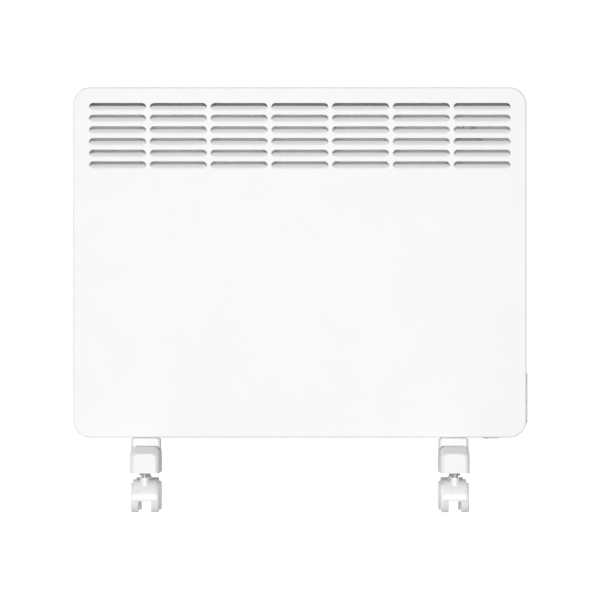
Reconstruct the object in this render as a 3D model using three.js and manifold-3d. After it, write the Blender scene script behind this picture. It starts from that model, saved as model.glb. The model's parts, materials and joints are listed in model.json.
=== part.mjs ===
// Panel convector heater on two castor feet. Millimetres, +Z up, front towards -Y.
// The origin lies on the floor, under the middle of the whole heater.
import * as THREE from 'three';
import { mergeVertices } from 'three/addons/utils/BufferGeometryUtils.js';
import Module from 'manifold-3d';

const wasm = await Module();
wasm.setup();

// ---------- driving dimensions ----------

// fits
const seatGap = 0.3; // between two fixed pieces that lie face to face
const fitGap = 0.25; // round a button or a lens in its opening
const runningGap = 0.1; // radial, round a turning pin
const through = 1; // how far a cutter runs past the face that it opens

// folded steel cover
const coverWidth = 582;
const coverHeight = 450;
const coverDepth = 76.7;
const coverSheet = 1;
const cornerRadius = 22;
const rimRadius = 3.2;
const returnFlange = 13;
const cornerSteps = 5;
const rimSteps = 3;

// air outlet: rows of pressed louvres near the top of the front
const slotWidth = 73;
const slotHeight = 10.6;
const slotGap = 5;
const slotPitch = 15;
const slotRows = 6;
const slotSideMargin = 20; // at least, from the side of the cover to the first slot
const slotTopMargin = 20.1;
const flapRise = 6.8;
const flapDepth = 4.8;
const flapBend = 70;
const slotEndSteps = 2;
const flapSteps = 2;

// air inlet: narrow slots in the bottom of the cover
const inletLength = 42;
const inletWidth = 3.6;
const inletGap = 6;
const inletPitch = 11;
const inletRows = 4;
const inletFootMargin = 13;

// flat steel back, screwed to the cover's return flange
const rearSheet = 1;
const rearInset = 1.2;
const hookSlotWidth = 26;
const hookSlotHeight = 8;
const hookSlotSide = 75;
const hookSlotTop = 36;
const hookSlotBottom = 30;

// screws of the back
const rearScrewRadius = 1.75;
const rearScrewHeadRadius = 3.6;
const rearScrewHeadHeight = 2.2;
const rearScrewLength = 9;
const rearScrewTaper = 2.625;
const rearScrewTip = 0.7;
const rearScrewDome = 0.99;
const rearScrewFlat = 2.52;
const rearScrewSide = 71;
const screwHoleGap = 0.2;

// air guide behind the louvres
const guideSheet = 0.8;
const guideSideGap = 15; // from either side of the cover to the guide's end
const guideSetback = 63; // from the front of the cover to the guide's upright part
const guideBottom = 232; // above the bottom of the cover
const guideFlange = 16;
const guideCurveRadius = 36;
const guideCurveSteps = 5;
const guideTopGap = 6;
const guideLip = 9;
const guideHoleHeight = 9;
const guideUpperHoleLength = 16;
const guideLowerHoleLength = 34;
const guideHoleSide = 72; // from the right side of the cover to the holes' middle
const guideRoundHoleRadius = 3;
const guideRoundHoleSide = 98;
const guideUpperHoleRow = 2; // louvre rows, the top one being 0
const guideLowerHoleRow = 3;

// finned heating element and its two brackets
const elementHeight = 108; // its axis, above the bottom of the cover
const elementLeftRoom = 48;
const elementRightRoom = 88;
const tubeRadius = 4.25;
const tubeEnd = 26;
const tubeSides = 8;
const finHeight = 60;
const finDepth = 42;
const finSheet = 0.8;
const finPitch = 16;
const bracketSheet = 1.2;
const bracketHeight = 72;
const bracketDepth = 26; // in front of the element's axis
const bracketFlange = 14;
const bracketOffset = 9; // from the last fin
const tubeHoleGap = 0.2;

// thermal cut-out on the right bracket
const cutoutRadius = 8;
const cutoutDepth = 6.5;
const cutoutRise = 23;
const bladeWidth = 6.3;
const bladeSheet = 0.8;
const bladeLength = 8;

// control unit in the right side
const fasciaHeight = 64;
const fasciaDepth = 52;
const fasciaPlate = 1.7;
const fasciaSeat = 0.1;
const fasciaRadius = 3;
const fasciaLap = 3;
const fasciaPlug = 5;
const fasciaWall = 1.6;
const fasciaCornerSteps = 3;
const controlHeight = 50.7; // its middle, above the bottom of the cover
const housingDepth = 26;
const housingWall = 1.6;
const boardMargin = 1.5;
const boardThickness = 1.6;
const switchSide = 6;
const switchHeight = 4.3;
const postSide = 5;
const lensSideRoom = 1; // between the lens's lip and the fascia's inner wall
const lensTopRoom = 0; // the lip fills the plug up to its top wall
const lensDrop = 4.15; // between the lips of the lens and of the buttons under it
const lensRecess = 0.2;
const lensLip = 1;
const lensLipThickness = 0.8;
const buttonHeight = 9;
const buttonGapAcross = 5; // between two caps side by side
const buttonGapDown = 3.5; // between two caps one above the other
const buttonSideRoom = 1.35; // between a button's lip and the fascia's inner wall
const buttonBottomRoom = 1.85;
const buttonProud = 0.4;
const buttonTravel = 0.8;
const buttonStopRoom = 0.2;
const buttonLip = 1;
const buttonLipThickness = 1;

// room sensor under the control housing
const sensorBase = 12;
const sensorBaseThickness = 2;
const sensorRadius = 2.2;
const sensorLength = 14;

// mains switch in the bottom
const switchSideMargin = 44; // from the right side of the cover to the switch's middle
const switchY = 4;
const bezelWidth = 22;
const bezelDepth = 15.6;
const bezelThickness = 1.2;
const bezelLap = 0.8;
const switchBodyGap = 0.2;
const switchWall = 1;
const switchPivotWall = 1.3;
const switchBodyHeight = 18;
const switchWellHeight = 12;
const rockerWidth = 15.8;
const rockerDepth = 10;
const rockerTilt = 8;
const rockerProud = 0.6;
const rockerEndDrop = 4.6;
const rockerMiddleDrop = 3.4;
const rockerShoulder = 1.5;
const rockerTopRise = 2.2;
const trunnionRadius = 1.2;

// mains terminal block and cord bush on the back
const terminalSide = 146; // from the right side of the cover to the block's middle
const terminalHeight = 52;
const terminalWidth = 36;
const terminalTall = 18;
const terminalDepth = 14;
const terminalPoles = 3;
const terminalWellRadius = 2.2;
const terminalWellDepth = 6;
const glandDrop = 24; // below the terminal block's middle
const glandBore = 3.6;
const glandBody = 7;
const glandFlange = 10;
const glandFlangeThickness = 2.4;
const glandFlangeRim = 1.44;
const glandFlangeFace = 8.5;
const glandInside = 9;

// feet: a hollow bar across the depth, with a neck up to the cover
const footInset = 93;
const footLength = 240;
const footWidth = 37;
const footHeight = 34;
const footNoseHeight = 25;
const footNoseRun = 16;
const footTopRadius = 7.5;
const footTopSteps = 3;
const footInnerRadius = 0.5; // the least inside the bar's upper edges
const footWall = 2.6;
const neckWidth = 38;
const neckLength = 60;
const neckHeight = 11;
const neckRadius = 4;
const neckSteps = 3;
const neckRecess = 1.5;
const neckRecessHeight = 1.3;
const footPlateThickness = 3;
const footPlateInset = 2;
const footScrewSpacing = 36;
const footScrewRadius = 3;
const footScrewHeadRadius = 5.5;
const footScrewHeadHeight = 3.6;
const footScrewSink = 20; // from the underside of the bar to the screw's seat
const footScrewTip = 2;
const footScrewHeadFlat = 3.3;
const footScrewHeadDome = 1.44;
const screwTipChamfer = 1;
const footScrewBoss = 9;
const stemBoss = 8.5;

// twin-wheel castors
const castorHeight = 50;
const castorInset = 20; // from the end of the bar to the swivel axis
const castorTrail = 12.5;
const wheelRadius = 19;
const wheelWidth = 10.1;
const wheelGap = 16; // between the two wheels
const wheelEdge = 2.5;
const wheelCap = 1.2;
const wheelSides = 24;
const wheelEdgeSteps = 2;
const axleRadius = 2.5;
const axleChamfer = 0.5;
const hoodRadius = 23.4;
const hoodWall = 2;
const hoodWidth = 29.4;
const hoodFrontDrop = 4.5;
const hoodRearAngle = 30;
const hoodSteps = 10;
const webWidth = 14.6;
const hubRadius = 4.5;
const hubSteps = 4;
const swivelBoss = 5.6;
const swivelBossDrop = 5.5; // from the foot to the top of the boss
const swivelBossFloor = 2; // under the stem's bore
const stemRadius = 3.9;
const stemIntoBoss = 14.5;
const stemIntoFoot = 20;
const stemChamfer = 1;
const stemCollar = 6.7;
const stemCollarThickness = 2.4;
const pinSides = 16;
const bossSides = 16;
const holeSides = 10;

// ---------- derived places ----------

const coverBottom = castorHeight + footHeight + neckHeight;
const coverTop = coverBottom + coverHeight;
const bodyDepth = coverDepth + seatGap + rearSheet;
const frontY = -bodyDepth / 2;
const flangeY = frontY + coverDepth;
const rearY = flangeY + seatGap;
const backY = rearY + rearSheet;
const insideRightX = coverWidth / 2 - coverSheet;
const footX = coverWidth / 2 - footInset;
const swivelY = footLength / 2 - castorInset;

// ---------- shapes ----------

function toSolid(geometry) {
  const bare = new THREE.BufferGeometry();
  bare.setAttribute('position', geometry.getAttribute('position').clone());
  if (geometry.index) bare.setIndex(geometry.index.clone());
  const welded = mergeVertices(bare, 1e-5);
  const index = welded.index.array;
  const corner = [new THREE.Vector3(), new THREE.Vector3(), new THREE.Vector3()];
  const triangles = [];
  let volume = 0;
  for (let i = 0; i < index.length; i += 3) {
    const [a, b, c] = index.slice(i, i + 3);
    if (a === b || b === c || c === a) continue;
    triangles.push([a, b, c]);
    [a, b, c].forEach((v, k) => corner[k].fromBufferAttribute(welded.getAttribute('position'), v));
    volume += corner[0].dot(corner[1].cross(corner[2]));
  }
  if (volume < 0) triangles.forEach((triangle) => triangle.reverse());
  const mesh = new wasm.Mesh({
    numProp: 3,
    vertProperties: new Float32Array(welded.getAttribute('position').array),
    triVerts: new Uint32Array(triangles.flat()),
  });
  return new wasm.Manifold(mesh);
}

function toGeometry(solid) {
  const mesh = solid.getMesh();
  const geometry = new THREE.BufferGeometry();
  geometry.setAttribute('position', new THREE.BufferAttribute(mesh.vertProperties, mesh.numProp));
  geometry.setIndex(new THREE.BufferAttribute(mesh.triVerts, 1));
  geometry.computeVertexNormals();
  return geometry;
}

function joined(solids) {
  return solids.reduce((whole, solid) => whole.add(solid));
}

function box(x, y, z) {
  const geometry = new THREE.BoxGeometry(x[1] - x[0], y[1] - y[0], z[1] - z[0]);
  geometry.translate((x[0] + x[1]) / 2, (y[0] + y[1]) / 2, (z[0] + z[1]) / 2);
  return toSolid(geometry);
}

function around(middle, size) {
  return [middle - size / 2, middle + size / 2];
}

// Turns a solid that was drawn along +Z so that it runs along X or Y.
// Along X its drawing plane becomes YZ, and along Y it becomes XZ.
function turned(geometry, axis) {
  const toAxis = new THREE.Matrix4();
  const x = new THREE.Vector3(1, 0, 0);
  const y = new THREE.Vector3(0, 1, 0);
  const z = new THREE.Vector3(0, 0, 1);
  if (axis === 'x') toAxis.makeBasis(y, z, x);
  if (axis === 'y') toAxis.makeBasis(x, z, y.negate());
  return geometry.applyMatrix4(toAxis);
}

function extruded(outline, axis, from, to) {
  const shape = outline.isShape ? outline : new THREE.Shape(outline);
  const geometry = new THREE.ExtrudeGeometry(shape, {
    depth: to - from,
    bevelEnabled: false,
    curveSegments: cornerSteps,
  });
  turned(geometry, axis);
  const start = { x: [from, 0, 0], y: [0, to, 0], z: [0, 0, from] }[axis];
  geometry.translate(...start);
  return toSolid(geometry);
}

function cylinder(radius, axis, from, to, middle, sides = pinSides) {
  const geometry = new THREE.CylinderGeometry(radius, radius, to - from, sides);
  geometry.rotateX(Math.PI / 2);
  turned(geometry, axis);
  const reach = (from + to) / 2;
  const place = {
    x: [reach, middle[0], middle[1]],
    y: [middle[0], reach, middle[1]],
    z: [middle[0], middle[1], reach],
  }[axis];
  geometry.translate(...place);
  return toSolid(geometry);
}

// A turned piece. The profile holds [radius, distance along the axis], from axis to axis.
function lathed(profile, axis, sides) {
  const geometry = new THREE.LatheGeometry(profile.map(([r, h]) => new THREE.Vector2(r, h)), sides);
  geometry.rotateX(Math.PI / 2);
  return toSolid(turned(geometry, axis));
}

function arc(middle, radius, from, to, steps) {
  const points = [];
  for (let i = 0; i <= steps; i++) {
    const angle = THREE.MathUtils.degToRad(from + ((to - from) * i) / steps);
    points.push(
      new THREE.Vector2(middle[0] + radius * Math.cos(angle), middle[1] + radius * Math.sin(angle)),
    );
  }
  return points;
}

function roundedRectangle(width, height, radius, steps, middle = [0, 0]) {
  const x = width / 2 - radius;
  const y = height / 2 - radius;
  const corners = [[x, y], [-x, y], [-x, -y], [x, -y]];
  return corners.flatMap(([cx, cy], i) =>
    arc([middle[0] + cx, middle[1] + cy], radius, 90 * i, 90 * (i + 1), steps));
}

// ---------- front cover ----------

const coverMiddleZ = coverBottom + coverHeight / 2;

function coverRing(inset, y) {
  const outline = roundedRectangle(
    coverWidth - 2 * inset,
    coverHeight - 2 * inset,
    cornerRadius - inset,
    cornerSteps,
    [0, coverMiddleZ],
  );
  return outline.map((p) => new THREE.Vector3(p.x, y, p.y));
}

function slotMiddles() {
  const pitch = slotWidth + slotGap;
  const columns = Math.floor((coverWidth - 2 * slotSideMargin + slotGap) / pitch);
  const middles = [];
  for (let row = 0; row < slotRows; row++) {
    for (let column = 0; column < columns; column++) {
      middles.push([
        (column - (columns - 1) / 2) * pitch,
        coverTop - slotTopMargin - slotHeight / 2 - row * slotPitch,
      ]);
    }
  }
  return middles;
}

// One slot's rim: the cut upper half from right to left, then the lower half, which stays joined.
function slotRim([x, z]) {
  const end = slotHeight / 2;
  const reach = slotWidth / 2 - end;
  const upper = [
    ...arc([x + reach, z], end, 0, 90, slotEndSteps),
    ...arc([x - reach, z], end, 90, 180, slotEndSteps),
  ];
  const lower = [
    ...arc([x - reach, z], end, 180, 270, slotEndSteps).slice(1),
    ...arc([x + reach, z], end, 270, 360, slotEndSteps).slice(0, -1),
  ];
  return { upper, lower };
}

// A point of the pressed flap, above the lower rim point, at the share s of its height.
function flapPoint(rimPoint, [, z], s, behind) {
  const end = slotHeight / 2;
  const fall = (z - rimPoint.y) / end;
  const top = z + (flapRise - end) * fall;
  const bend = THREE.MathUtils.degToRad(flapBend);
  const angle = s * bend;
  const rise = Math.sin(angle) / Math.sin(bend);
  const depth = ((1 - Math.cos(angle)) / (1 - Math.cos(bend))) * flapDepth * fall;
  const lean = angle * fall;
  return new THREE.Vector3(
    rimPoint.x,
    frontY + depth + behind * coverSheet * Math.cos(lean),
    rimPoint.y + (top - rimPoint.y) * rise - behind * coverSheet * Math.sin(lean),
  );
}

function coverSkin() {
  const corners = [];
  const strip = (a, b) => {
    for (let i = 0; i + 1 < a.length; i++) {
      corners.push(a[i], a[i + 1], b[i + 1], a[i], b[i + 1], b[i]);
    }
  };

  // rounded rim, side walls and return flange, outside and then back along the inside
  const quarter = (k) => (k / rimSteps) * (Math.PI / 2);
  const rings = [];
  for (let k = 0; k <= rimSteps; k++) {
    rings.push([rimRadius * (1 - Math.sin(quarter(k))), frontY + rimRadius * (1 - Math.cos(quarter(k)))]);
  }
  rings.push([0, flangeY], [returnFlange, flangeY]);
  rings.push([returnFlange, flangeY - coverSheet], [coverSheet, flangeY - coverSheet]);
  const innerRim = rimRadius - coverSheet;
  for (let k = rimSteps; k >= 0; k--) {
    rings.push([
      rimRadius - innerRim * Math.sin(quarter(k)),
      frontY + rimRadius - innerRim * Math.cos(quarter(k)),
    ]);
  }
  const loops = rings.map(([inset, y]) => coverRing(inset, y));
  loops.forEach((loop) => loop.push(loop[0]));
  for (let i = 0; i + 1 < loops.length; i++) strip(loops[i + 1], loops[i]);

  // front and inner faces round the louvres
  const outline = coverRing(rimRadius, 0).map((p) => new THREE.Vector2(p.x, p.z));
  const middles = slotMiddles();
  const rims = middles.map(slotRim);
  const holes = rims.map(({ upper, lower }) => [...upper, ...lower]);
  const points = [outline, ...holes].flat();
  for (const [a, b, c] of THREE.ShapeUtils.triangulateShape(outline, holes)) {
    const at = (i, y) => new THREE.Vector3(points[i].x, y, points[i].y);
    corners.push(at(a, frontY), at(b, frontY), at(c, frontY));
    corners.push(at(c, frontY + coverSheet), at(b, frontY + coverSheet), at(a, frontY + coverSheet));
  }

  // cut edge and pressed flap of each louvre
  rims.forEach(({ upper, lower }, i) => {
    const [right, left] = [upper[0], upper[upper.length - 1]];
    const on = (points, y) => points.map((p) => new THREE.Vector3(p.x, y, p.y));
    strip(on(upper, frontY), on(upper, frontY + coverSheet));
    const hinge = [left, ...lower, right];
    const row = (s, behind) => hinge.map((p) => flapPoint(p, middles[i], s, behind));
    for (let k = 0; k < flapSteps; k++) {
      strip(row(k / flapSteps, 0), row((k + 1) / flapSteps, 0));
      strip(row((k + 1) / flapSteps, 1), row(k / flapSteps, 1));
    }
    strip(row(1, 0), row(1, 1));
  });
  return toSolid(new THREE.BufferGeometry().setFromPoints(corners));
}

function inletCutters() {
  const reach = footX - neckWidth / 2 - inletFootMargin;
  const pitch = inletLength + inletGap;
  const columns = Math.floor((2 * reach + inletGap) / pitch);
  const cutters = [];
  for (let row = 0; row < inletRows; row++) {
    for (let column = 0; column < columns; column++) {
      const x = (column - (columns - 1) / 2) * pitch;
      const y = (row - (inletRows - 1) / 2) * inletPitch;
      const depth = around(coverBottom + coverSheet / 2, 2 * coverSheet);
      cutters.push(box(around(x, inletLength), around(y, inletWidth), depth));
    }
  }
  return cutters;
}

const rearScrewPlaces = [1, -1].flatMap((end) =>
  [-1, 0, 1].map((side) => [
    side * (coverWidth / 2 - rearScrewSide),
    coverMiddleZ + end * (coverHeight / 2 - returnFlange / 2),
  ]));
const footScrewPlaces = [-1, 1].flatMap((side) =>
  [-1, 1].map((end) => [side * footX, end * (footScrewSpacing / 2)]));
const controlZ = coverBottom + controlHeight;
const switchX = coverWidth / 2 - switchSideMargin;
const bezelCutWidth = bezelWidth - 2 * bezelLap;
const bezelCutDepth = bezelDepth - 2 * bezelLap;

function frontCover() {
  const bottom = around(coverBottom + coverSheet / 2, 2 * coverSheet);
  const back = around(flangeY - coverSheet / 2, 2 * coverSheet);
  const cutters = [
    ...inletCutters(),
    ...footScrewPlaces.map((p) => cylinder(footScrewRadius + screwHoleGap, 'z', ...bottom, p, holeSides)),
    ...rearScrewPlaces.map((p) => cylinder(rearScrewRadius + screwHoleGap, 'y', ...back, p, holeSides)),
    box(around(switchX, bezelCutWidth), around(switchY, bezelCutDepth), bottom),
    box(
      [insideRightX - through, insideRightX + coverSheet + through],
      around(0, fasciaDepth - 2 * fasciaLap),
      around(controlZ, fasciaHeight - 2 * fasciaLap),
    ),
  ];
  return coverSkin().subtract(joined(cutters));
}

// ---------- back of the casing ----------

const terminalX = coverWidth / 2 - terminalSide;
const terminalZ = coverBottom + terminalHeight;
const glandPlace = [terminalX, terminalZ - glandDrop];

function rearPanel() {
  const outline = roundedRectangle(
    coverWidth - 2 * rearInset,
    coverHeight - 2 * rearInset,
    cornerRadius - rearInset,
    cornerSteps,
    [0, coverMiddleZ],
  );
  const span = [rearY - through, backY + through];
  const hookX = coverWidth / 2 - hookSlotSide;
  const hookZ = [coverTop - hookSlotTop, coverBottom + hookSlotBottom];
  const cutters = [
    ...hookZ.flatMap((z) =>
      [-hookX, hookX].map((x) => box(around(x, hookSlotWidth), span, around(z, hookSlotHeight)))),
    ...rearScrewPlaces.map((p) => cylinder(rearScrewRadius + screwHoleGap, 'y', ...span, p, holeSides)),
    cylinder(glandBody + fitGap, 'y', ...span, glandPlace, bossSides),
  ];
  return extruded(outline, 'y', rearY, backY).subtract(joined(cutters));
}

function rearScrew() {
  const profile = [
    [0, -rearScrewLength],
    [rearScrewTip, -rearScrewLength],
    [rearScrewRadius, rearScrewTaper - rearScrewLength],
    [rearScrewRadius, 0],
    [rearScrewHeadRadius, 0],
    [rearScrewHeadRadius, rearScrewHeadHeight - rearScrewDome],
    [rearScrewFlat, rearScrewHeadHeight],
    [0, rearScrewHeadHeight],
  ];
  return lathed(profile.map(([r, h]) => [r, -h]), 'y', holeSides);
}

// ---------- air guide ----------

const guideY = frontY + guideSetback;
const guideRightX = coverWidth / 2 - guideSideGap;

function guideHole(length, z) {
  const x = coverWidth / 2 - guideHoleSide;
  const reach = [guideY - guideSheet - through, guideY + through];
  return box(around(x, length), reach, around(z, guideHoleHeight));
}

function airGuide() {
  const bottom = coverBottom + guideBottom;
  const curveTop = coverTop - coverSheet - guideTopGap;
  const bend = [guideY - guideCurveRadius, curveTop - guideCurveRadius];
  const seat = rearY - seatGap;
  const lipEnd = guideY - guideCurveRadius - guideLip;
  const outside = [
    new THREE.Vector2(seat, bottom - guideFlange),
    new THREE.Vector2(seat, bottom + guideSheet),
    new THREE.Vector2(guideY, bottom + guideSheet),
    ...arc(bend, guideCurveRadius, 0, 90, guideCurveSteps),
    new THREE.Vector2(lipEnd, curveTop),
  ];
  const inside = [
    new THREE.Vector2(seat - guideSheet, bottom - guideFlange),
    new THREE.Vector2(seat - guideSheet, bottom),
    new THREE.Vector2(guideY - guideSheet, bottom),
    ...arc(bend, guideCurveRadius - guideSheet, 0, 90, guideCurveSteps),
    new THREE.Vector2(lipEnd, curveTop - guideSheet),
  ];
  const sheet = extruded([...outside, ...inside.reverse()], 'x', -guideRightX, guideRightX);
  const rowZ = (row) => coverTop - slotTopMargin - slotHeight / 2 - row * slotPitch + flapRise / 2;
  const holes = [
    guideHole(guideUpperHoleLength, rowZ(guideUpperHoleRow)),
    guideHole(guideLowerHoleLength, rowZ(guideLowerHoleRow)),
    cylinder(
      guideRoundHoleRadius,
      'y',
      guideY - guideSheet - through,
      guideY + through,
      [coverWidth / 2 - guideRoundHoleSide, rowZ(guideLowerHoleRow)],
      holeSides,
    ),
  ];
  return sheet.subtract(joined(holes));
}

// ---------- heating element ----------

const elementZ = coverBottom + elementHeight;
const elementLeft = -coverWidth / 2 + elementLeftRoom;
const elementRight = coverWidth / 2 - elementRightRoom;
const finCount = Math.floor((elementRight - elementLeft) / finPitch) + 1;
const finReach = ((finCount - 1) * finPitch) / 2;
const elementX = (elementLeft + elementRight) / 2;
const tubeReach = finReach + tubeEnd;

function heatingElement() {
  const tube = cylinder(tubeRadius, 'x', -tubeReach, tubeReach, [0, 0], tubeSides);
  const fins = [];
  for (let i = 0; i < finCount; i++) {
    fins.push(box(around(i * finPitch - finReach, finSheet), around(0, finDepth), around(0, finHeight)));
  }
  return joined([tube, ...fins]);
}

// The bracket stands across the element and is screwed to the back by its bent edge.
function elementBracket(side) {
  const x = side * (finReach + bracketOffset);
  const seat = rearY - seatGap;
  const plate = box(
    around(x, bracketSheet),
    [-bracketDepth, seat],
    around(0, bracketHeight),
  );
  const foot = box(
    side > 0 ? [x - bracketSheet / 2, x + bracketFlange] : [x - bracketFlange, x + bracketSheet / 2],
    [seat - bracketSheet, seat],
    around(0, bracketHeight),
  );
  const hole = cylinder(tubeRadius + tubeHoleGap, 'x', ...around(x, 2 * bracketSheet), [0, 0], tubeSides);
  return plate.add(foot).subtract(hole);
}

function thermalCutout() {
  const face = finReach + bracketOffset + bracketSheet / 2 + seatGap;
  const can = cylinder(cutoutRadius, 'x', face, face + cutoutDepth, [0, cutoutRise]);
  const tail = [face + cutoutDepth - bladeSheet, face + cutoutDepth + bladeLength];
  const blades = [-1, 1].map((side) =>
    box(tail, around(side * (cutoutRadius / 2), bladeSheet), around(cutoutRise, bladeWidth)));
  return joined([can, ...blades]);
}

// ---------- control unit, seen along X from its own middle ----------

const plateBack = coverSheet + fasciaSeat; // measured from the inside of the side wall
const plateFront = plateBack + fasciaPlate;
const mouthDepth = fasciaDepth - 2 * fasciaLap;
const mouthHeight = fasciaHeight - 2 * fasciaLap;
const innerDepth = mouthDepth - 2 * (seatGap + fasciaWall); // inside the fascia's plug
const innerHeight = mouthHeight - 2 * (seatGap + fasciaWall);
const buttonRim = fitGap + buttonLip;
const buttonWidth = (innerDepth - buttonGapAcross) / 2 - buttonSideRoom - buttonRim;
const buttonPitchAcross = buttonWidth + buttonGapAcross;
const buttonPitchDown = buttonHeight + buttonGapDown;
const buttonLowZ = -innerHeight / 2 + buttonBottomRoom + buttonRim + buttonHeight / 2;
const buttonTopZ = buttonLowZ + buttonPitchDown + buttonHeight / 2 + buttonRim;
const lensRim = fitGap + lensLip;
const lensWidth = innerDepth - 2 * (lensSideRoom + lensRim);
const lensTopZ = innerHeight / 2 - lensTopRoom - lensRim;
const lensBottomZ = buttonTopZ + lensDrop + lensRim;
const lensHeight = lensTopZ - lensBottomZ;
const lensMiddleZ = (lensTopZ + lensBottomZ) / 2;
const buttonBack = plateBack - fasciaSeat - buttonLipThickness;
const boardFront = buttonBack - buttonTravel - buttonStopRoom - switchHeight;
const buttonPlaces = [1, 0].flatMap((row) =>
  [-1, 1].map((side) => [
    side * (buttonPitchAcross / 2),
    buttonLowZ + row * buttonPitchDown,
  ]));

function controlFascia() {
  const outline = roundedRectangle(fasciaDepth, fasciaHeight, fasciaRadius, fasciaCornerSteps);
  const plate = extruded(outline, 'x', plateBack, plateFront);
  const plugDepth = mouthDepth - 2 * seatGap;
  const plugHeight = mouthHeight - 2 * seatGap;
  const plug = box(
    [plateBack - fasciaPlug, plateBack + fasciaPlate / 2],
    around(0, plugDepth),
    around(0, plugHeight),
  );
  const hollow = box(
    [plateBack - 2 * fasciaPlug, plateBack],
    around(0, innerDepth),
    around(0, innerHeight),
  );
  const span = [plateBack - fasciaPlate, plateFront + through];
  const openings = buttonPlaces.map(([y, z]) =>
    box(span, around(y, buttonWidth + 2 * fitGap), around(z, buttonHeight + 2 * fitGap)));
  const lensOpening = box(
    span,
    around(0, lensWidth + 2 * fitGap),
    around(lensMiddleZ, lensHeight + 2 * fitGap),
  );
  return plate.add(plug).subtract(hollow).subtract(joined([...openings, lensOpening]));
}

function displayWindow() {
  const pane = box(
    [plateBack - fasciaSeat - lensLipThickness, plateFront - lensRecess],
    around(0, lensWidth),
    around(lensMiddleZ, lensHeight),
  );
  const lip = box(
    [plateBack - fasciaSeat - lensLipThickness, plateBack - fasciaSeat],
    around(0, lensWidth + 2 * lensRim),
    around(lensMiddleZ, lensHeight + 2 * lensRim),
  );
  return pane.add(lip);
}

function button() {
  const cap = box(
    [buttonBack, plateFront + buttonProud],
    around(0, buttonWidth),
    around(0, buttonHeight),
  );
  const lip = box(
    [buttonBack, plateBack - fasciaSeat],
    around(0, buttonWidth + 2 * buttonRim),
    around(0, buttonHeight + 2 * buttonRim),
  );
  return cap.add(lip);
}

function controlBoard() {
  const size = [mouthDepth - 2 * boardMargin, mouthHeight - 2 * boardMargin];
  const board = box([boardFront - boardThickness, boardFront], around(0, size[0]), around(0, size[1]));
  const lensBack = plateBack - fasciaSeat - lensLipThickness;
  const display = box(
    [boardFront - boardThickness / 2, lensBack - seatGap],
    around(0, lensWidth - 2 * lensLip),
    around(lensMiddleZ, lensHeight - 2 * lensLip),
  );
  const reach = [boardFront - boardThickness / 2, boardFront + switchHeight];
  const switches = buttonPlaces.map(([y, z]) => box(reach, around(y, switchSide), around(z, switchSide)));
  return joined([board, display, ...switches]);
}

function controlHousing() {
  const mouth = -seatGap;
  const floor = mouth - housingDepth;
  const shell = box(
    [floor, mouth],
    around(0, mouthDepth + 2 * housingWall),
    around(0, mouthHeight + 2 * housingWall),
  );
  const inside = [floor + housingWall, mouth + through];
  const hollow = box(inside, around(0, mouthDepth), around(0, mouthHeight));
  const postReach = [floor + housingWall / 2, boardFront - boardThickness - seatGap];
  const posts = [-1, 1].flatMap((across) =>
    [-1, 1].map((up) =>
      box(
        postReach,
        around(across * (mouthDepth / 2 - boardMargin - postSide / 2), postSide),
        around(up * (mouthHeight / 2 - boardMargin - postSide / 2), postSide),
      )));
  return joined([shell.subtract(hollow), ...posts]);
}

function roomSensor() {
  const top = -(mouthHeight / 2 + housingWall + seatGap);
  const x = -seatGap - housingDepth / 2;
  const base = box(around(x, sensorBase), around(0, sensorBase), [top - sensorBaseThickness, top]);
  const bead = cylinder(
    sensorRadius,
    'y',
    -sensorLength / 2,
    sensorLength / 2,
    [x, top - sensorBaseThickness - sensorRadius / 2],
    holeSides,
  );
  return base.add(bead);
}

// ---------- mains switch, seen from below, with its middle at the origin of its group ----------

const wellWidth = bezelCutWidth - 2 * switchBodyGap - 2 * switchWall;
const wellDepth = bezelCutDepth - 2 * switchBodyGap - 2 * switchPivotWall;
const bezelFace = -seatGap / 3 - bezelThickness; // below the cover
const tilt = THREE.MathUtils.degToRad(rockerTilt);
const raisedDrop = rockerEndDrop * Math.cos(tilt) + (rockerWidth / 2) * Math.sin(tilt);
const pivotZ = bezelFace - rockerProud + raisedDrop;

function switchHousing() {
  const bodyTop = bezelFace + bezelThickness + switchBodyHeight;
  const rim = [bezelFace, bezelFace + bezelThickness];
  const bezel = box(around(0, bezelWidth), around(0, bezelDepth), rim);
  const body = box(
    around(0, wellWidth + 2 * switchWall),
    around(0, wellDepth + 2 * switchPivotWall),
    [bezelFace + bezelThickness / 2, bodyTop],
  );
  const blades = [-1, 0, 1].map((place) =>
    box(
      around(place * (wellWidth / 3), bladeSheet),
      around(0, bladeWidth),
      [bodyTop - bladeSheet, bodyTop + bladeLength],
    ));
  const wellReach = [bezelFace - through, bezelFace + switchWellHeight];
  const well = box(around(0, wellWidth), around(0, wellDepth), wellReach);
  const reach = wellDepth / 2 + 2 * switchPivotWall;
  const bores = cylinder(trunnionRadius + runningGap, 'y', -reach, reach, [0, pivotZ]);
  return joined([bezel, body, ...blades]).subtract(well).subtract(bores);
}

// The rocker about its pivot, level: a shallow V face below, a boss and two trunnions.
function mainsRocker() {
  const half = rockerWidth / 2;
  const outline = [
    [-half, -rockerEndDrop],
    [0, -rockerMiddleDrop],
    [half, -rockerEndDrop],
    [half, -rockerShoulder],
    [half / 2, rockerTopRise],
    [-half / 2, rockerTopRise],
    [-half, -rockerShoulder],
  ].map(([x, z]) => new THREE.Vector2(x, z));
  const paddle = extruded(outline, 'y', -rockerDepth / 2, rockerDepth / 2);
  const reach = wellDepth / 2 + switchPivotWall - switchBodyGap;
  return paddle.add(cylinder(trunnionRadius, 'y', -reach, reach, [0, 0]));
}

// ---------- mains terminals and cord bush ----------

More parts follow.
